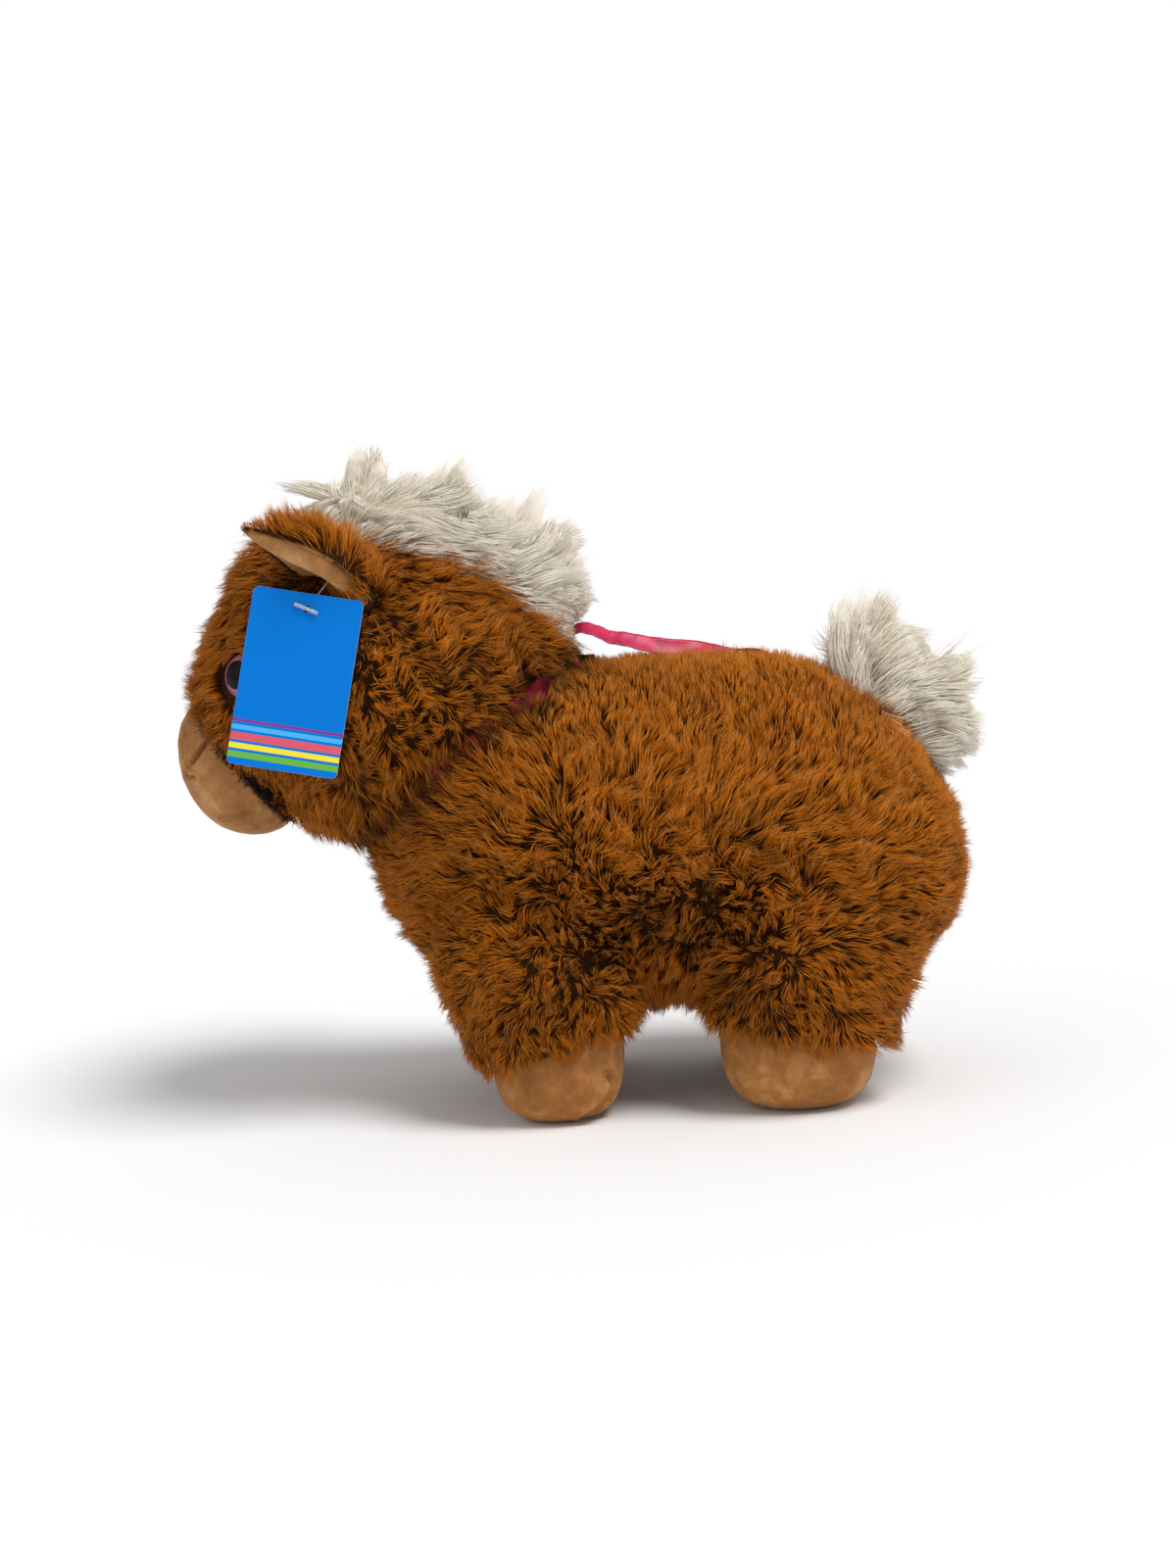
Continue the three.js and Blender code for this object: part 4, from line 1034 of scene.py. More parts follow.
class PONY_OT_stage(bpy.types.Operator):
    """Floor, soft light and camera"""

    bl_idname = "pony.stage"
    bl_label = "Stage"

    def execute(self, context):
        stage = context.scene.pony_stage
        deselect()
        self.camera(context, stage)
        self.floor(stage)
        self.world(context, stage)
        self.lamps(stage)
        context.scene.view_settings.view_transform = "Standard"
        return {"FINISHED"}

    def camera(self, context, stage):
        lower, upper = cad_box
        middle = (lower + upper) / 2
        target = Vector((middle.x - AIM_BEHIND, middle.y, stage.height))
        yaw, lift, roll = stage.yaw, stage.elevation, stage.roll
        flat_right = Vector((math.cos(yaw), math.sin(yaw), 0))
        flat = math.cos(lift)
        forward = Vector((-math.sin(yaw) * flat, math.cos(yaw) * flat, -math.sin(lift)))
        flat_up = flat_right.cross(forward)
        right = flat_right * math.cos(roll) - flat_up * math.sin(roll)
        up = flat_right * math.sin(roll) + flat_up * math.cos(roll)
        camera = add_object("camera", bpy.data.cameras.new("camera"))
        camera.data.lens = stage.lens
        camera.data.sensor_width = 36
        camera.data.sensor_fit = "AUTO"
        turned = Matrix((right, up, -forward)).transposed().to_4x4()
        camera.matrix_world = Matrix.Translation(target - forward * stage.distance) @ turned
        context.scene.camera = camera

    def floor(self, stage):
        bpy.ops.mesh.primitive_plane_add(size=14)
        floor = bpy.context.object
        floor.name = "floor"
        material, tree, shader = new_material("floor")
        place = add_node(tree, "TexCoord").outputs["Object"]
        reach = add_node(tree, "VectorMath", place, operation="LENGTH").outputs["Value"]
        fade = add_node(tree, "MapRange", reach, interpolation_type="SMOOTHSTEP")
        set_inputs(fade, From_Min=FADE_START, From_Max=FADE_END)
        rays = add_node(tree, "LightPath").outputs
        seen = self.either(tree, rays["Is Camera Ray"], rays["Is Glossy Ray"])
        seen = self.either(tree, seen, rays["Is Transmission Ray"])
        faded = fade.outputs["Result"]
        share = add_node(tree, "Math", faded, seen, operation="MULTIPLY").outputs[0]
        white = add_node(tree, "Emission").outputs[0]
        mix = add_node(tree, "MixShader", share, shader.outputs[0], white).outputs[0]
        tree.links.new(mix, tree.nodes["Material Output"].inputs["Surface"])
        set_inputs(shader, Base_Color=tuple(stage.floor), Roughness=1.0, Specular_IOR_Level=0.0)
        floor.data.materials.append(material)

    def world(self, context, stage):
        world = bpy.data.worlds.new("studio")
        context.scene.world = world
        world.use_nodes = True
        tree = world.node_tree
        base = set_inputs(tree.nodes["Background"], Color=(1, 1, 1), Strength=stage.ambient)
        white = set_inputs(add_node(tree, "Background"), Color=(1, 1, 1))
        rays = add_node(tree, "LightPath").outputs
        seen = self.either(tree, rays["Is Camera Ray"], rays["Is Transmission Ray"])
        mix = add_node(tree, "MixShader", seen, base.outputs[0], white.outputs[0]).outputs[0]
        tree.links.new(mix, tree.nodes["World Output"].inputs["Surface"])

    def either(self, tree, first, second):
        return add_node(tree, "Math", first, second, operation="MAXIMUM").outputs[0]

    def lamps(self, stage):
        for name, strength, spread_angle, source in (
            ("key", stage.key, 26, Vector((0.42, -0.36, 1))),
            ("fill", stage.fill, 50, Vector((-0.8, -0.6, 0.5))),
        ):
            lamp = add_object(name, bpy.data.lights.new(name, "SUN"))
            lamp.data.energy = strength
            lamp.data.angle = math.radians(spread_angle)
            lamp.rotation_euler = source.to_track_quat("Z", "Y").to_euler()


# Where one part of the coat ends along the body and the next begins
PART_EDGES = (-12 * MM, 50 * MM, 110 * MM)

# A leg's pile ends this far below the leg's top, and is this much wider than the leg
LEG_TOP = 14 * MM
LEG_MARGIN = 2 * MM


class PONY_OT_body(bpy.types.Operator):
    """Body and legs: the knitted backing and the chestnut pile on it"""

    bl_idname = "pony.body"
    bl_label = "Body and legs"

    def execute(self, context):
        pile = context.scene.pony_pile
        rng = np.random.default_rng(11)
        form = soft_form("body_backing", ("body",) + LEGS, 3 * MM, 14)
        hems = [(hoof, 0.3, 20 * MM) for hoof in HOOVES]
        depth = pile_depth(form, pile.depth, ("head", 0.25, 20 * MM), ("tail", 0.4, 12 * MM), *hems)
        root, edge, normal = coat_roots(form, depth, pile.body_count, rng)
        free = self.uncovered(edge)
        root, edge, normal = root[free], edge[free], normal[free]
        curves, tone = coat_curves(root, edge, normal, BODY_FLOW, CHESTNUT, rng, crease=1)
        width = pile.width * rng.uniform(0.75, 1.15, len(root))
        group = self.groups(edge)
        found = materials()
        dress(form, found["chestnut_backing"], "body", "body")
        for number, (name, node) in enumerate(self.names()):
            chosen = group == number
            if not chosen.any():
                raise RuntimeError(f"no fibres in {name}")
            piece = fibre_mesh(name, curves[chosen], normal[chosen], width[chosen], tone[chosen])
            dress(piece, found["chestnut_pile"], "body", node)
        return {"FINISHED"}

    def uncovered(self, edge):
        """Roots that aren't under the tail's root, inside the neck or on the hems' undersides."""
        tail = distance_to(tree_of("tail"), edge) > 1.5 * MM
        hooves = distance_to(tree_of(*HOOVES), edge) > 1.0 * MM
        ahead, out = about_neck(edge)
        return tail & hooves & ~on_collar(edge) & ~((ahead > -NECK_HALF) & (out < NECK_RADIUS))

    def names(self):
        parts = ("shoulder", "loin", "flank", "rump")
        regions = [f"{part}_pile_{side}" for part in parts for side in SIDES]
        return [(name, None) for name in regions] + [(f"{leg}_pile", leg) for leg in LEGS]

    def groups(self, edge):
        """Numbers the parts of the coat, in the order of their names."""
        side = (edge[:, 1] > 0).astype(int)
        along = np.digitize(edge[:, 0], PART_EDGES)
        group = along * 2 + side
        for number, leg in enumerate(LEGS):
            lower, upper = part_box(leg)
            inside = edge[:, 2] < upper.z - LEG_TOP
            for axis in range(2):
                inside &= edge[:, axis] > lower[axis] - LEG_MARGIN
                inside &= edge[:, axis] < upper[axis] + LEG_MARGIN
            group[inside] = 8 + number
        return group


class PONY_OT_head(bpy.types.Operator):
    """Head: the knitted backing, the chestnut pile on it and the dark fuzz at the muzzle's seam"""

    bl_idname = "pony.head"
    bl_label = "Head"

    def execute(self, context):
        pile = context.scene.pony_pile
        rng = np.random.default_rng(23)
        form = soft_form("head_backing", ("head", "muzzle", "eye_near", "eye_far"), 3 * MM, 12)
        depth = pile_depth(
            form,
            pile.depth,
            ("body", 0.25, 20 * MM),
            ("mane", 0.3, 16 * MM),
            ("eye_near", 0.5, 10 * MM),
            ("eye_far", 0.5, 10 * MM),
        )
        root, edge, normal = coat_roots(form, depth, pile.head_count, rng)
        free = self.uncovered(edge)
        root, edge, normal = root[free], edge[free], normal[free]
        shun = ((("muzzle",), 14 * MM, 2.5), (("eye_near", "eye_far"), 6 * MM, 0.5))
        curves, tone = coat_curves(root, edge, normal, HEAD_FLOW, CHESTNUT, rng, crease=1, shun=shun)
        # Painted shadow: head fibres near the ear linings are darkened, as shade under the ears
        ear_shade_distance = distance_to(tree_of("ear_lining_near", "ear_lining_far"), edge)
        tone = (tone - np.interp(ear_shade_distance, [3 * MM, 16 * MM], [0.5, 0])).clip(0.02, 0.98)
        width = pile.width * rng.uniform(0.75, 1.15, len(root))
        clear = clear_of_card(curves)
        found = materials()
        dress(form, found["chestnut_backing"], "head", "head")
        self.seam_fuzz(edge, normal, found["dark_seam_fuzz"], rng)
        for side, sign in zip(SIDES, (-1, 1)):
            chosen = clear & (edge[:, 1] * sign > 0)
            fibres = curves[chosen], normal[chosen], width[chosen], tone[chosen]
            piece = fibre_mesh(f"head_pile_{side}", *fibres)
            dress(piece, found["chestnut_pile"], "head")
        return {"FINISHED"}

    def uncovered(self, edge):
        """Roots that aren't under another piece, inside the neck or over the collar."""
        ahead, out = about_neck(edge)
        free = ~((ahead < NECK_HALF) & (out < NECK_RADIUS)) & ~on_collar(edge)
        for nodes, least in (
            (("muzzle",), 1.0),
            (("eye_near", "eye_far"), 1.8),
            (("mane",), 1.2),
            (("ear_back_near", "ear_back_far"), 1.2),
        ):
            free &= distance_to(tree_of(*nodes), edge) > least * MM
        return free

    def seam_fuzz(self, edge, normal, material, rng):
        """Short dark fibres in patches, where the coat meets the muzzle."""
        away = distance_to(tree_of("muzzle"), edge)
        beside = np.interp(np.abs(normal[:, 1]), [0.2, 0.8], [-1, 1])
        patch = ripple(edge, 13 * MM, rng) + 0.4 * beside
        free = (away < 6.5 * MM) & (patch > -0.4) & (np.abs(normal[:, 1]) > 0.2)
        root, normal = (edge - normal * 1.5 * MM)[free], normal[free]
        count = len(root)
        flat = unit(rng.normal(size=root.shape) + (0.2, 0, -0.5))
        flat = unit(flat - (flat * normal).sum(1, keepdims=True) * normal)
        lift = np.radians(rng.uniform(15, 50, count))
        curves = grow(root, normal, flat, lift, rng.uniform(3.5, 6, count) * MM, CHESTNUT, rng)
        width = rng.uniform(0.35, 0.55, count) * MM
        piece = fibre_mesh("seam_fuzz", curves, normal, width, rng.uniform(0.2, 1, count))
        dress(piece, material, "head")


# The middle of the rolled edge of the near ear's lining, in millimetres, with how high and how
# deep the roll is at each point
EAR_ROLL = (
    ((-152, -71.5, 295.5), 2.6, 2.2),
    ((-142, -75, 289.6), 4.2, 3.2),
    ((-130.4, -79, 283.6), 4.7, 3.2),
    ((-119, -80, 277.6), 4.6, 2.8),
    ((-112.5, -74.5, 272.2), 4.6, 3),
    ((-107, -69.5, 266), 4.4, 3),
    ((-100.8, -65.5, 258.5), 3.2, 2.6),
)
# How far the ears are laid over, in degrees
EAR_DROOP = 6

# The roll at the ear's edge: the corners of its section, and how far its ends are drawn out
ROLL_SIDES = 16
ROLL_CAP = 2.4 * MM


def drooped(points, side):
    """The ear's points, with the ear laid over a little at its root."""
    root, _ = joint_place(f"ear_{side}_flop")
    turn = np.array(Matrix.Rotation(math.radians(-EAR_DROOP), 3, "Y"))
    return (points - np.array(root)) @ turn.T + np.array(root)


def swept_roll(name, stops, side):
    """A round-ended roll along these points, higher than it is deep."""
    rows = np.array([(*place, high, deep) for place, high, deep in stops], float) * MM
    path = curve_through(rows, 5)
    line, high, deep = path[:, :3] * (1, side, 1), path[:, 3], path[:, 4]
    ahead = unit(np.gradient(line, axis=0))
    outward = unit(np.cross(ahead, np.cross((0.0, side, 0), ahead)))
    upward = np.cross(ahead, outward)
    work = bmesh.new()
    rings = []
    for r, place in enumerate(line):
        ring = []
        for step in range(ROLL_SIDES):
            turn = 2 * math.pi * step / ROLL_SIDES
            offset = upward[r] * high[r] * math.cos(turn) + outward[r] * deep[r] * math.sin(turn)
            ring.append(work.verts.new(place + offset))
        rings.append(ring)
    for low, high_ring in zip(rings, rings[1:]):
        for step in range(ROLL_SIDES):
            after = (step + 1) % ROLL_SIDES
            work.faces.new((low[step], low[after], high_ring[after], high_ring[step]))
    for ring, place, way in ((rings[0], line[0], -ahead[0]), (rings[-1], line[-1], ahead[-1])):
        tip = work.verts.new(place + way * ROLL_CAP)
        for step in range(ROLL_SIDES):
            work.faces.new((ring[step], ring[(step + 1) % ROLL_SIDES], tip))
    bmesh.ops.recalc_face_normals(work, faces=work.faces)
    return object_from(work, name)


class PONY_OT_ears(bpy.types.Operator):
    """Ears: pile on the backs and short plush linings with a thick rolled edge"""

    bl_idname = "pony.ears"
    bl_label = "Ears"

    def execute(self, context):
        pile = context.scene.pony_pile
        found = materials()
        for side, sign, seed in zip(SIDES, (1, -1), (31, 32)):
            rng = np.random.default_rng(seed)
            body = f"ear_{side}"
            form = soft_form(f"ear_backing_{side}", (f"ear_back_{side}",), 0.9 * MM, 3, grow=0)
            lining = tree_of(f"ear_lining_{side}")
            corners, shares = scatter(points_of(form), triangles_of(form), pile.ear_count, rng)
            free = distance_to(lining, spread(points_of(form), corners, shares)) > 1.3 * MM
            place_points(form, drooped(points_of(form), side))
            root = spread(points_of(form), corners, shares)[free]
            normal = unit(spread(normals_of(form), corners, shares))[free]
            curves, tone = coat_curves(root, root, normal, EAR_FLOW, CHESTNUT, rng, reach=12)
            curves = shortened(curves, np.interp(root[:, 0], [-155 * MM, -141 * MM], [0.3, 1]))
            clear = clear_of_card(curves)
            curves, normal, tone = curves[clear], normal[clear], tone[clear]
            width = pile.width * rng.uniform(0.7, 1.1, len(curves))
            dress(form, found["chestnut_backing"], body, f"ear_back_{side}")
            piece = fibre_mesh(f"ear_pile_{side}", curves, normal, width, tone)
            dress(piece, found["chestnut_pile"], body)
            plush = self.lining(side, sign)
            dress(plush, found["short_tan_plush"], body, f"ear_lining_{side}")
        return {"FINISHED"}

    def lining(self, side, sign):
        """The lining's leaf joined with the roll along its outer edge."""
        leaf = node_copy(f"ear_plush_{side}", f"ear_lining_{side}")
        place_points(leaf, drooped(points_of(leaf), side))
        roll = swept_roll("roll", EAR_ROLL, sign)
        select_only(leaf, roll)
        bpy.ops.object.join()
        leaf.name = f"ear_plush_{side}"
        finished(leaf, "REMESH", mode="VOXEL", voxel_size=0.6 * MM, use_smooth_shade=True)
        keep_outer_shell(leaf)
        finished(leaf, "SMOOTH", factor=0.5, iterations=4)
        return leaf


# Creases, each with the points it runs through in the side view, in millimetres, and its depth
# and half width
MUZZLE_CREASES = (
    (((-184.5, 199), (-190.9, 191), (-198, 182.7)), 4.2, 1.1),
    (((-203.5, 197), (-202.4, 188)), 2.6, 1.1),
    (((-201.6, 178.2), (-195.8, 176.8)), 2.6, 1.0),
    (((-199.5, 182), (-203, 177)), 2.0, 1.3),
    (((-184.8, 155.8), (-176.2, 156.8), (-167.6, 160)), 2.0, 1.3),
    (((-190, 214), (-182.1, 200.8), (-169.3, 181.8), (-160.4, 173.4), (-151, 162)), 1.8, 1.7),
)
HOOF_CREASES = {
    "front_hoof_near": ((((1, 25.8), (4.4, 18.4), (-1.4, 9.2), (-12.3, 2.6)), 3.2, 1.6),),
    "front_hoof_far": ((((-40, 26), (-46, 18), (-40, 9)), 1.1, 1.6),),
    "hind_hoof_near": ((((62, 30), (60, 18), (68, 8)), 0.9, 1.8),),
    "hind_hoof_far": ((((124, 30), (128, 18), (118, 8)), 0.9, 1.8),),
}


class PONY_OT_plush(bpy.types.Operator):
    """Muzzle and hooves in short creased plush"""

    bl_idname = "pony.plush"
    bl_label = "Muzzle and hooves"

    def execute(self, context):
        found = materials()
        muzzle = soft_form("muzzle_plush", ("muzzle",), 0.9 * MM, 12, grow=0)
        for line, depth, width in MUZZLE_CREASES:
            press_groove(muzzle, line, depth, width)
        dress(muzzle, found["short_tan_plush"], "head", "muzzle")
        for hoof in HOOVES:
            piece = soft_form(f"{hoof}_plush", (hoof,), 1.2 * MM, 10, grow=0)
            for line, depth, width in HOOF_CREASES[hoof]:
                press_groove(piece, line, depth, width)
            self.dimple(piece)
            dress(piece, found["short_hoof_plush"], "body", hoof)
        return {"FINISHED"}

    def dimple(self, piece):
        """Low soft hollows where the filling lies unevenly, but not in the flat sole."""
        rng = np.random.default_rng(51)
        points, normal = points_of(piece), normals_of(piece)
        dent = 0.35 * MM * ripple(points, 16 * MM, rng)
        dent = dent * np.interp(points[:, 2], [2 * MM, 6 * MM], [0, 1])
        place_points(piece, points - normal * np.maximum(dent, 0)[:, None])


class PONY_OT_mane(bpy.types.Operator):
    """Mane of long white pile"""

    bl_idname = "pony.mane"
    bl_label = "Mane"

    def execute(self, context):
        count = context.scene.pony_pile.mane_count
        white_tuft("mane", "head", "head", MANE_FLOW, MANE_LOCKS, MANE_BARE, 0.8, count, 41)
        return {"FINISHED"}


class PONY_OT_tail(bpy.types.Operator):
    """Tail of long white pile"""

    bl_idname = "pony.tail"
    bl_label = "Tail"

    def execute(self, context):
        count = context.scene.pony_pile.tail_count
        white_tuft("tail", "tail", "body", TAIL_FLOW, TAIL_LOCKS, TAIL_BARE, 0.4, count, 43)
        return {"FINISHED"}


def drawn_back(points, share, bare):
    """The points, moved out of the bare places in the side view by their share of the way."""
    for centre, radius, towards in bare:
        place = points[:, [0, 2]] / MM
        out = place - centre
        way = unit(np.array(towards, float) - place)
        along = (out * way).sum(1)
        inside = np.maximum(radius ** 2 - (out ** 2).sum(1), 0)
        move = np.where(inside > 0, np.sqrt(along ** 2 + inside) - along, 0) * share
        points[:, [0, 2]] += way * move[:, None] * MM
    return points


def beyond(tree, points):
    """How far points lie outside a closed solid, less than nothing inside."""
    found = [tree.find_nearest(p) for p in points]
    out = points - np.array([place for place, _, _, _ in found])
    facing = np.array([normal for _, normal, _, _ in found])
    away = np.linalg.norm(out, axis=1)
    return np.where((out * facing).sum(1) < -0.5 * away, -away, away)


# How far the core of a tuft lies inside the tuft's grown outline, away from what carries it
CORE_DEPTH = 8.5 * MM

# How much of a tuft's pile is combed over the core. The rest stands off in locks.
COMBED_SHARE = 0.6


def white_tuft(node, body, ground, flow, locks, bare, far_share, count, seed):
    """Long silky fibres combed over a full core, with locks that stand off it, for the mane
    and the tail."""
    rng = np.random.default_rng(seed)
    silk = bpy.context.scene.pony_pile.silk_width
    carrier = tree_of(ground)
    form = soft_form(f"{node}_backing", (node,), 2 * MM, 6, grow=4 * MM)
    inset = np.interp(beyond(carrier, points_of(form)), [1 * MM, 6 * MM], [0, CORE_DEPTH])
    points = points_of(form) - normals_of(form) * inset[:, None]
    place_points(form, drawn_back(points, inset / CORE_DEPTH, bare))
    finished(form, "REMESH", mode="VOXEL", voxel_size=2 * MM, use_smooth_shade=True)
    keep_outer_shell(form)
    finished(form, "SMOOTH", factor=0.5, iterations=8)
    corners, shares = scatter(points_of(form), triangles_of(form), int(count * COMBED_SHARE), rng)
    root = spread(points_of(form), corners, shares)
    normal = unit(spread(normals_of(form), corners, shares))
    free = beyond(carrier, root) > -1 * MM
    root, normal = root[free], normal[free]
    combed, tone = coat_curves(root, root, normal, flow, SILK, rng, reach=11, upright=True)
    for centre, radius, _ in bare:
        away = near_places(root, (centre,)) / radius
        combed = shortened(combed, np.interp(away, [1, 1.3], [0.5, 1]))
    backing = bpy.data.objects[f"{ground}_backing"]
    surface = BVHTree.FromObject(backing, bpy.context.evaluated_depsgraph_get())
    both = locks + mirrored(locks, far_share, rng)
    strands, lock_tone_and_shade = lock_curves(both, surface, count - len(combed), rng)
    found = materials()
    dress(form, found["white_backing"], body, node)
    layers = (("pile", combed, tone.clip(0.25, 1) + 0.1), ("locks", strands, lock_tone_and_shade))
    for kind, curves, tones in layers:
        width = silk * rng.uniform(0.7, 1.15, len(curves))
        side = np.where(curves[:, 1, 1] > 0, 1.0, -1.0)
        facing = unit(np.stack([0 * side, side, 0 * side + 0.3], 1))
        for name, chosen in ((f"{node}_{kind}_near", side < 0), (f"{node}_{kind}_far", side > 0)):
            fibres = curves[chosen], facing[chosen], width[chosen], tones[chosen].clip(0, 0.98)
            piece = fibre_mesh(name, *fibres)
            dress(piece, found["long_white_pile"], body)


# The eye's button, how deep it sits in the pile, and the rings painted on it
EYE_RADIUS = 11.5 * MM
EYE_DOME = 8 * MM
EYE_SINK = 0.8 * MM
EYE_POST = 2.5 * MM
EYE_POST_LENGTH = 14 * MM
IRIS_RADIUS = 11 * MM
PUPIL_RADIUS = 7.2 * MM


class PONY_OT_eyes(bpy.types.Operator):
    """Eyes: a domed plastic button on a post, with a mauve ring round the pupil"""

    bl_idname = "pony.eyes"
    bl_label = "Eyes"

    def execute(self, context):
        plush = context.scene.pony_plush
        parts = self.finishes(plush)
        low, high = linear("#D8D8D4"), linear("#EDEDEA")
        washer = cloudy_material("washer_finish", 700, 2, low, high, Roughness=0.45)
        for side in SIDES:
            eye = self.button(f"eye_button_{side}")
            wear(eye, *parts)
            self.paint(eye)
            top, foot = eye_poles(f"eye_{side}")
            out = (top - foot).normalized()
            turn = out.to_track_quat("Z", "Y").to_matrix().to_4x4()
            eye.matrix_world = Matrix.Translation(top - out * (EYE_DOME + EYE_SINK)) @ turn
            settle(eye)
            stand_for(eye, "head", f"eye_{side}")
            frame["nodes"][f"eye_washer_{side}"].material_slots[0].material = washer
        return {"FINISHED"}

    def button(self, name):
        """A dome with a rounded rim, a flat back and a post, its dome along z."""
        bpy.ops.mesh.primitive_uv_sphere_add(segments=64, ring_count=48, radius=EYE_RADIUS)
        eye = bpy.context.object
        eye.name = name
        bpy.ops.object.mode_set(mode="EDIT")
        bpy.ops.mesh.select_all(action="SELECT")
        bpy.ops.transform.resize(value=(1, 1, EYE_DOME / EYE_RADIUS))
        bpy.ops.mesh.bisect(plane_co=(0, 0, 0), plane_no=(0, 0, 1), clear_inner=True)
        post = EYE_POST / EYE_RADIUS
        for drop, grow_by in (
            (-1.5 * MM, 1),
            (0, 0.93),
            (-0.5 * MM, post / 0.93),
            (-EYE_POST_LENGTH, 1),
            (0, 0.01),
        ):
            bpy.ops.mesh.extrude_edges_move(TRANSFORM_OT_translate={"value": (0, 0, drop)})
            bpy.ops.transform.resize(value=(grow_by, grow_by, 1))
        bpy.ops.mesh.select_all(action="SELECT")
        bpy.ops.mesh.remove_doubles(threshold=0.04 * MM)
        bpy.ops.mesh.fill_holes(sides=64)
        bpy.ops.mesh.normals_make_consistent(inside=False)
        bpy.ops.object.mode_set(mode="OBJECT")
        bpy.ops.object.shade_smooth_by_angle(angle=math.radians(50))
        return eye

    def paint(self, eye):
        """Pupil, ring and rim, by how far a face is from the middle."""
        for face in eye.data.polygons:
            away = face.center.xy.length
            rim = face.center.z <= 0.2 * MM or away > IRIS_RADIUS
            face.material_index = 2 if rim else 0 if away < PUPIL_RADIUS else 1

    def finishes(self, plush):
        """The materials of pupil, ring and rim."""
        made = []
        for name, colour, spread_by in (
            ("pupil_finish", plush.pupil, 0.4),
            ("iris_finish", plush.iris, 0.45),
            ("rim_finish", linear("#1A1014"), 0.3),
        ):
            low, high = shade(colour, 1 - spread_by), shade(colour, 1 + spread_by)
            gloss = {"Specular_IOR_Level": 0.1, "Coat_Weight": 0.06, "Coat_Roughness": 0.05}
            made.append(cloudy_material(name, 260, 3, low, high, Roughness=0.3, **gloss))
        return made


def eye_poles(node):
    """The top of an eye's dome and the foot of its post."""
    work = bmesh.new()
    work.from_mesh(frame["nodes"][node].data)
    bmesh.ops.remove_doubles(work, verts=work.verts, dist=0.02 * MM)
    busy = sorted(work.verts, key=lambda vert: len(vert.link_edges))[-2:]
    foot, top = sorted((vert.co.copy() for vert in busy), key=lambda co: abs(co.y))
    work.free()
    return top, foot


# The ribbon lies along these points, in millimetres, each with the way across it
RIBBON_OVER_BACK = (
    ((-8, 0, 226.5), (0.1, 0.97, 0.2)),
    ((-8, 0, 233), (0.1, 0.9, 0.4)),
    ((-2, 0, 238.2), (0.1, 0.86, 0.5)),
    ((6, 0, 236.4), (0.08, 0.84, 0.53)),
    ((13, 0, 232.8), (0.05, 0.8, 0.6)),
    ((21, 0, 231.2), (0, 0.74, 0.67)),
    ((32, 0.3, 228.2), (0, 0.66, 0.75)),
    ((47, 1.5, 225.2), (-0.1, 0.5, 0.86)),
    ((77.4, 5.8, 222.6), (-0.77, 0.63, 0.01)),
    ((91.4, 23.1, 218.2), (-0.85, 0.53, 0.05)),
    ((100.8, 44.8, 207.1), (-0.94, 0.35, 0.04)),
    ((105.2, 63.3, 190), (-0.97, 0.23, 0.04)),
    ((106.6, 75.8, 169.8), (-0.99, 0.14, 0.03)),
    ((106.7, 82, 149.4), (-1, 0.1, 0.02)),
)
RIBBON_DOWN_SIDE = (
    ((-0.6, 13.6, 224.2), (-1, 0.03, 0.08)),
    ((-0.7, 27.8, 221), (-0.99, -0.12, 0.01)),
    ((-4.7, 45.7, 214), (-0.95, -0.29, 0.1)),
    ((-12.4, 60.7, 204.7), (-0.88, -0.38, 0.28)),
    ((-21.9, 70.6, 193.1), (-0.83, -0.35, 0.43)),
    ((-33.1, 77, 177.8), (-0.83, -0.28, 0.49)),
)
RIBBON_WIDTH = 10 * MM
RIBBON_THICKNESS = 0.5 * MM
COLLAR_RADIUS = 65.3 * MM


def curve_through(points, per_span):
    """A smooth curve through points, with even steps between each two."""
    padded = np.vstack([2 * points[0] - points[1], points, 2 * points[-1] - points[-2]])
    found = []
    for span in range(len(points) - 1):
        before, start, end, after = padded[span:span + 4]
        for step in range(per_span):
            t = step / per_span
            found.append(0.5 * (
                2 * start + (end - before) * t
                + (2 * before - 5 * start + 4 * end - after) * t * t
                + (3 * start - before - 3 * end + after) * t ** 3
            ))
    found.append(points[-1])
    return np.array(found)


def ribbon_piece(name, line, across, closed, cup=0.5 * MM):
    """A satin strip along a line: cupped across, thin, with soft edges, and mapped along it."""
    columns = 9
    ahead = np.gradient(line, axis=0)
    if closed:
        ahead = np.roll(line, -1, 0) - np.roll(line, 1, 0)
    ahead = unit(ahead)
    across = unit(across - (across * ahead).sum(1, keepdims=True) * ahead)
    face = np.cross(ahead, across)
    place = np.linspace(-0.5, 0.5, columns)
    rows = len(line)
    work = bmesh.new()
    layer = work.loops.layers.uv.new("OFBake")
    grid = []
    for r in range(rows):
        sag = 0.35 * MM * math.sin(r * 0.9) + 0.2 * MM * math.sin(r * 2.3)
        rise = cup * 4 * place * place + sag * place
        grid.append([
            work.verts.new(line[r] + across[r] * RIBBON_WIDTH * x + face[r] * up)
            for x, up in zip(place, rise)
        ])
    for r in range(rows if closed else rows - 1):
        for c in range(columns - 1):
            after = (r + 1) % rows
            made = work.faces.new((grid[r][c], grid[after][c], grid[after][c + 1], grid[r][c + 1]))
            marks = ((r, c), (r + 1, c), (r + 1, c + 1), (r, c + 1))
            for loop, (along, side) in zip(made.loops, marks):
                loop[layer].uv = (along / rows, side / (columns - 1))
            made.smooth = True
    return finished(object_from(work, name), "SOLIDIFY", thickness=RIBBON_THICKNESS, offset=0)


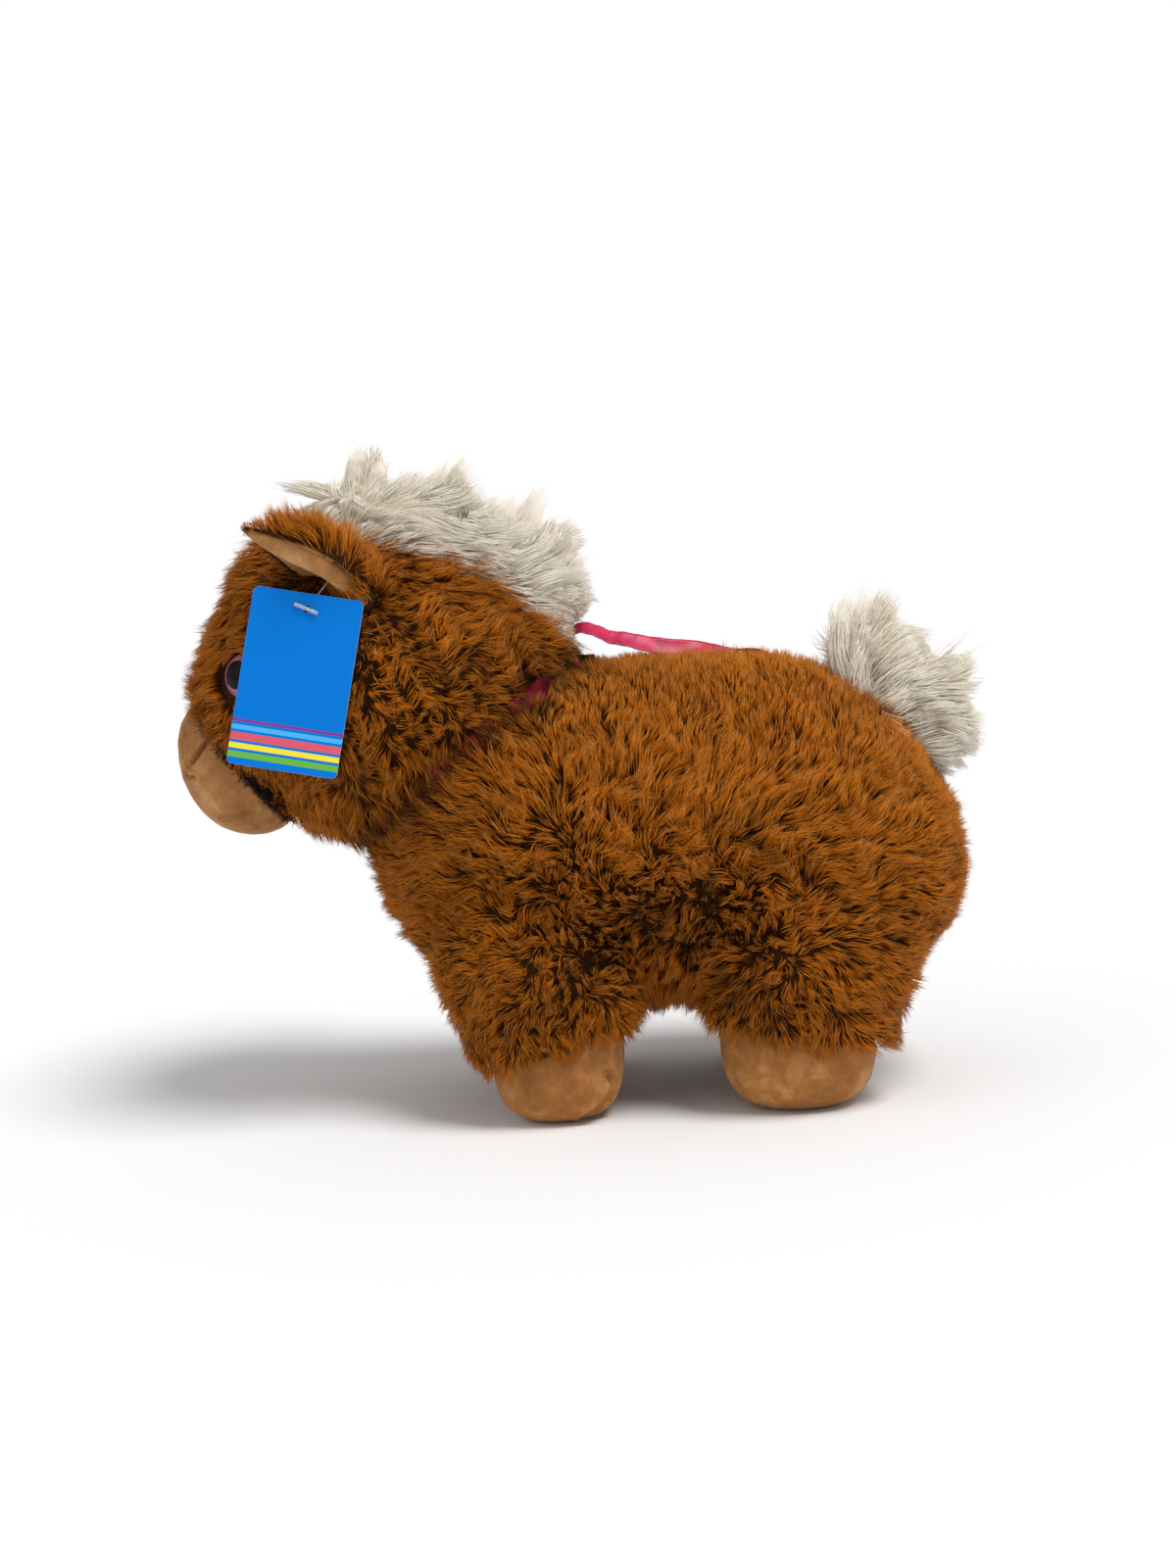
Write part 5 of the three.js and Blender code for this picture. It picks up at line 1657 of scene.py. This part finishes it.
def satin_material(satin):
    """Satin: fine weft lines across the ribbon, a sheen along it and small flaws in the tone."""
    material, tree, shader = new_material("ribbon_satin")
    cloud = noise_at(tree, 130, 3)
    weave = noise_at(tree, 2600, 2, stretch=(1, 1, 0.15))
    stops = [(0.3, shade(satin, 0.62)), (0.5, tuple(satin)), (0.72, shade(satin, 1.3))]
    threads = add_ramp(tree, weave, [(0.3, (0.8,) * 3), (0.7, (1.0,) * 3)])
    tint = multiplied(tree, 1.0, add_ramp(tree, cloud, stops), threads)
    tree.links.new(tint, shader.inputs["Base Color"])
    set_inputs(shader, Roughness=0.36, Specular_IOR_Level=0.35, Sheen_Weight=0.1, Sheen_Roughness=0.3)
    add_bump(tree, shader, weave, 0.15 * MM, 0.5)
    return material


class PONY_OT_ribbon(bpy.types.Operator):
    """Ribbon: a band in the neck crease, a knot at the nape and two ends"""

    bl_idname = "pony.ribbon"
    bl_label = "Ribbon"

    def execute(self, context):
        satin = satin_material(context.scene.pony_trim.satin)
        self.collar(satin)
        self.knot(satin)
        for name, node, stops in (
            ("ribbon_over_back", "ribbon_back_end", RIBBON_OVER_BACK),
            ("ribbon_down_side", "ribbon_side_end", RIBBON_DOWN_SIDE),
        ):
            line = curve_through(np.array([place for place, _ in stops], float) * MM, 9)
            across = curve_through(np.array([way for _, way in stops], float), 9)
            piece = ribbon_piece(name, line, across, False)
            dress(piece, satin, "body", node)
        return {"FINISHED"}

    def collar(self, satin):
        """The band goes once round the neck's axis."""
        centre, axis = neck()
        sideways = np.array([0.0, 1, 0])
        napeward = np.cross(sideways, axis)
        turns = np.linspace(0, 2 * math.pi, 96, endpoint=False)
        radius = COLLAR_RADIUS + 0.25 * MM * np.sin(turns * 7)
        ring = np.cos(turns)[:, None] * napeward + np.sin(turns)[:, None] * sideways
        line = centre + ring * radius[:, None]
        piece = ribbon_piece("ribbon_band", line, np.tile(axis, (len(line), 1)), True, cup=0.1 * MM)
        dress(piece, satin, "body", "ribbon_collar")

    def knot(self, satin):
        """The knot's soft form, creased across where the ends go through it."""
        form = soft_form("ribbon_bow_knot", ("ribbon_knot",), 0.6 * MM, 4, grow=0)
        points, normal = points_of(form), normals_of(form)
        ridges = np.sin(points[:, 1] / (1.7 * MM)) + 0.5 * np.sin(points[:, 0] / (0.9 * MM))
        place_points(form, points + normal * (ridges * 0.28 * MM)[:, None])
        finished(form, "SMOOTH", factor=0.4, iterations=2)
        dress(form, satin, "body", "ribbon_knot")


# Straight printed bands on the card, from its lower edge up: lower and upper edge in
# millimetres and the colour
CARD_BANDS = (
    (3.0, 6.2, "#6DB646"),
    (7.6, 10.0, "#F6E23C"),
    (11.4, 15.0, "#DE5C6E"),
    (16.6, 18.6, "#4DB4F0"),
    (20.2, 21.4, "#8E3A8C"),
)


def card_material(trim):
    """Printed card: a blue ground with five straight bands, under a soft varnish."""
    material, tree, shader = new_material("printed_card")
    place = add_node(tree, "UVMap", uv_map="OFBake").outputs["UV"]
    parts = add_node(tree, "SeparateXYZ", place)
    bands = add_node(tree, "ValToRGB", parts.outputs["Y"])
    bands.color_ramp.interpolation = "CONSTANT"
    stops = [(0, tuple(trim.card))]
    for low, high, code in CARD_BANDS:
        stops.append((low * MM / CARD_HEIGHT, linear(code)))
        stops.append((high * MM / CARD_HEIGHT, tuple(trim.card)))
    elements = bands.color_ramp.elements
    elements.remove(elements[1])
    for number, (at, colour) in enumerate(stops):
        element = elements[0] if number == 0 else elements.new(at)
        element.position = at
        element.color = (*colour, 1)
    fibres = set_inputs(add_node(tree, "TexNoise", place), Scale=60.0, Detail=4.0)
    veil = add_ramp(tree, fibres.outputs["Fac"], [(0.3, (0.93,) * 3), (0.7, (1.0,) * 3)])
    colour = multiplied(tree, 1.0, bands.outputs["Color"], veil)
    tree.links.new(colour, shader.inputs["Base Color"])
    set_inputs(shader, Roughness=0.5, Specular_IOR_Level=0.08)
    return material


def paper_material(name, colour):
    low, high = shade(colour, 0.86), tuple(colour)
    matt = {"Roughness": 0.75, "Specular_IOR_Level": 0.25}
    return cloudy_material(name, 900, 3, low, high, (0.05 * MM, 0.4), **matt)


class PONY_OT_tag(bpy.types.Operator):
    """Swing tag: a printed card with rounded corners and a punched hole"""

    bl_idname = "pony.tag"
    bl_label = "Swing tag"

    def execute(self, context):
        trim = context.scene.pony_trim
        card = self.card()
        back, rim = paper_material("card_back", trim.card), paper_material("card_edge", trim.paper)
        wear(card, card_material(trim), back, rim)
        self.map_print(card)
        hole, across, up, out = card_frame()
        turn = Matrix((across, up, out)).transposed().to_4x4()
        card.matrix_world = Matrix.Translation(hole) @ turn
        settle(card)
        stand_for(card, "tag", "swing_tag")
        return {"FINISHED"}

    def card(self):
        """The card lies flat, with its hole at the origin and its printed face up."""
        bpy.ops.mesh.primitive_plane_add(size=1, location=(0, CARD_HOLE_INSET - CARD_HEIGHT / 2, 0))
        card = bpy.context.object
        card.name = "printed_tag"
        bpy.ops.object.mode_set(mode="EDIT")
        bpy.ops.mesh.select_all(action="SELECT")
        bpy.ops.transform.resize(value=(CARD_WIDTH, CARD_HEIGHT, 1))
        bpy.ops.mesh.bevel(offset=CARD_CORNER, segments=10, affect="VERTICES")
        bpy.ops.object.mode_set(mode="OBJECT")
        settle(card)
        finished(card, "SOLIDIFY", thickness=CARD_THICKNESS, offset=0)
        bpy.ops.mesh.primitive_cylinder_add(vertices=40, radius=CARD_HOLE / 2, depth=0.01)
        punch = bpy.context.object
        finished(card, "BOOLEAN", operation="DIFFERENCE", object=punch, solver="EXACT")
        bpy.data.objects.remove(punch)
        finished(card, "BEVEL", width=0.1 * MM, segments=2, limit_method="ANGLE")
        return card

    def map_print(self, card):
        """Maps the card's face flat on, and tells face, back and edge apart."""
        mesh = card.data
        while mesh.uv_layers:
            mesh.uv_layers.remove(mesh.uv_layers[0])
        layer = mesh.uv_layers.new(name="OFBake")
        for face in mesh.polygons:
            face.material_index = 0 if face.normal.z > 0.9 else 1 if face.normal.z < -0.9 else 2
            for loop in face.loop_indices:
                co = mesh.vertices[mesh.loops[loop].vertex_index].co
                low = (co.y - CARD_HOLE_INSET) / CARD_HEIGHT + 1
                layer.data[loop].uv = (co.x / CARD_WIDTH + 0.5, low)


class PONY_OT_fastener(bpy.types.Operator):
    """Tag fastener: a clear nylon thread with a bar at each end"""

    bl_idname = "pony.fastener"
    bl_label = "Tag fastener"

    def execute(self, context):
        nylon = context.scene.pony_trim.nylon
        low, high = shade(nylon, 0.85), tuple(nylon)
        clear = {"Roughness": 0.16, "Transmission_Weight": 0.55, "IOR": 1.45}
        material = cloudy_material("milky_nylon", 500, 2, low, high, **clear)
        form = soft_form("nylon_fastener", ("tag_fastener",), 0.22 * MM, 4, grow=0)
        dress(form, material, "fastener", "tag_fastener")
        return {"FINISHED"}


class PONY_PT_panel(bpy.types.Panel):
    bl_idname = "PONY_PT_panel"
    bl_label = "Plush pony"
    bl_space_type = "VIEW_3D"
    bl_region_type = "UI"
    bl_category = "Pony"

    def draw(self, context):
        for operator in OPERATORS:
            self.layout.operator(operator.bl_idname)


OPERATORS = (
    PONY_OT_stage,
    PONY_OT_body,
    PONY_OT_head,
    PONY_OT_ears,
    PONY_OT_plush,
    PONY_OT_mane,
    PONY_OT_tail,
    PONY_OT_eyes,
    PONY_OT_ribbon,
    PONY_OT_tag,
    PONY_OT_fastener,
)
GROUPS = (
    ("pony_pile", PonyPile),
    ("pony_plush", PonyPlush),
    ("pony_trim", PonyTrim),
    ("pony_stage", PonyStage),
)


def register():
    for name, group in GROUPS:
        bpy.utils.register_class(group)
        setattr(bpy.types.Scene, name, PointerProperty(type=group))
    for operator in OPERATORS + (PONY_PT_panel,):
        bpy.utils.register_class(operator)


def unregister():
    for operator in reversed(OPERATORS + (PONY_PT_panel,)):
        bpy.utils.unregister_class(operator)
    for name, group in reversed(GROUPS):
        delattr(bpy.types.Scene, name)
        bpy.utils.unregister_class(group)


def main():
    register()
    for operator in OPERATORS:
        family, name = operator.bl_idname.split(".")
        getattr(getattr(bpy.ops, family), name)()


if __name__ == "__main__":
    main()
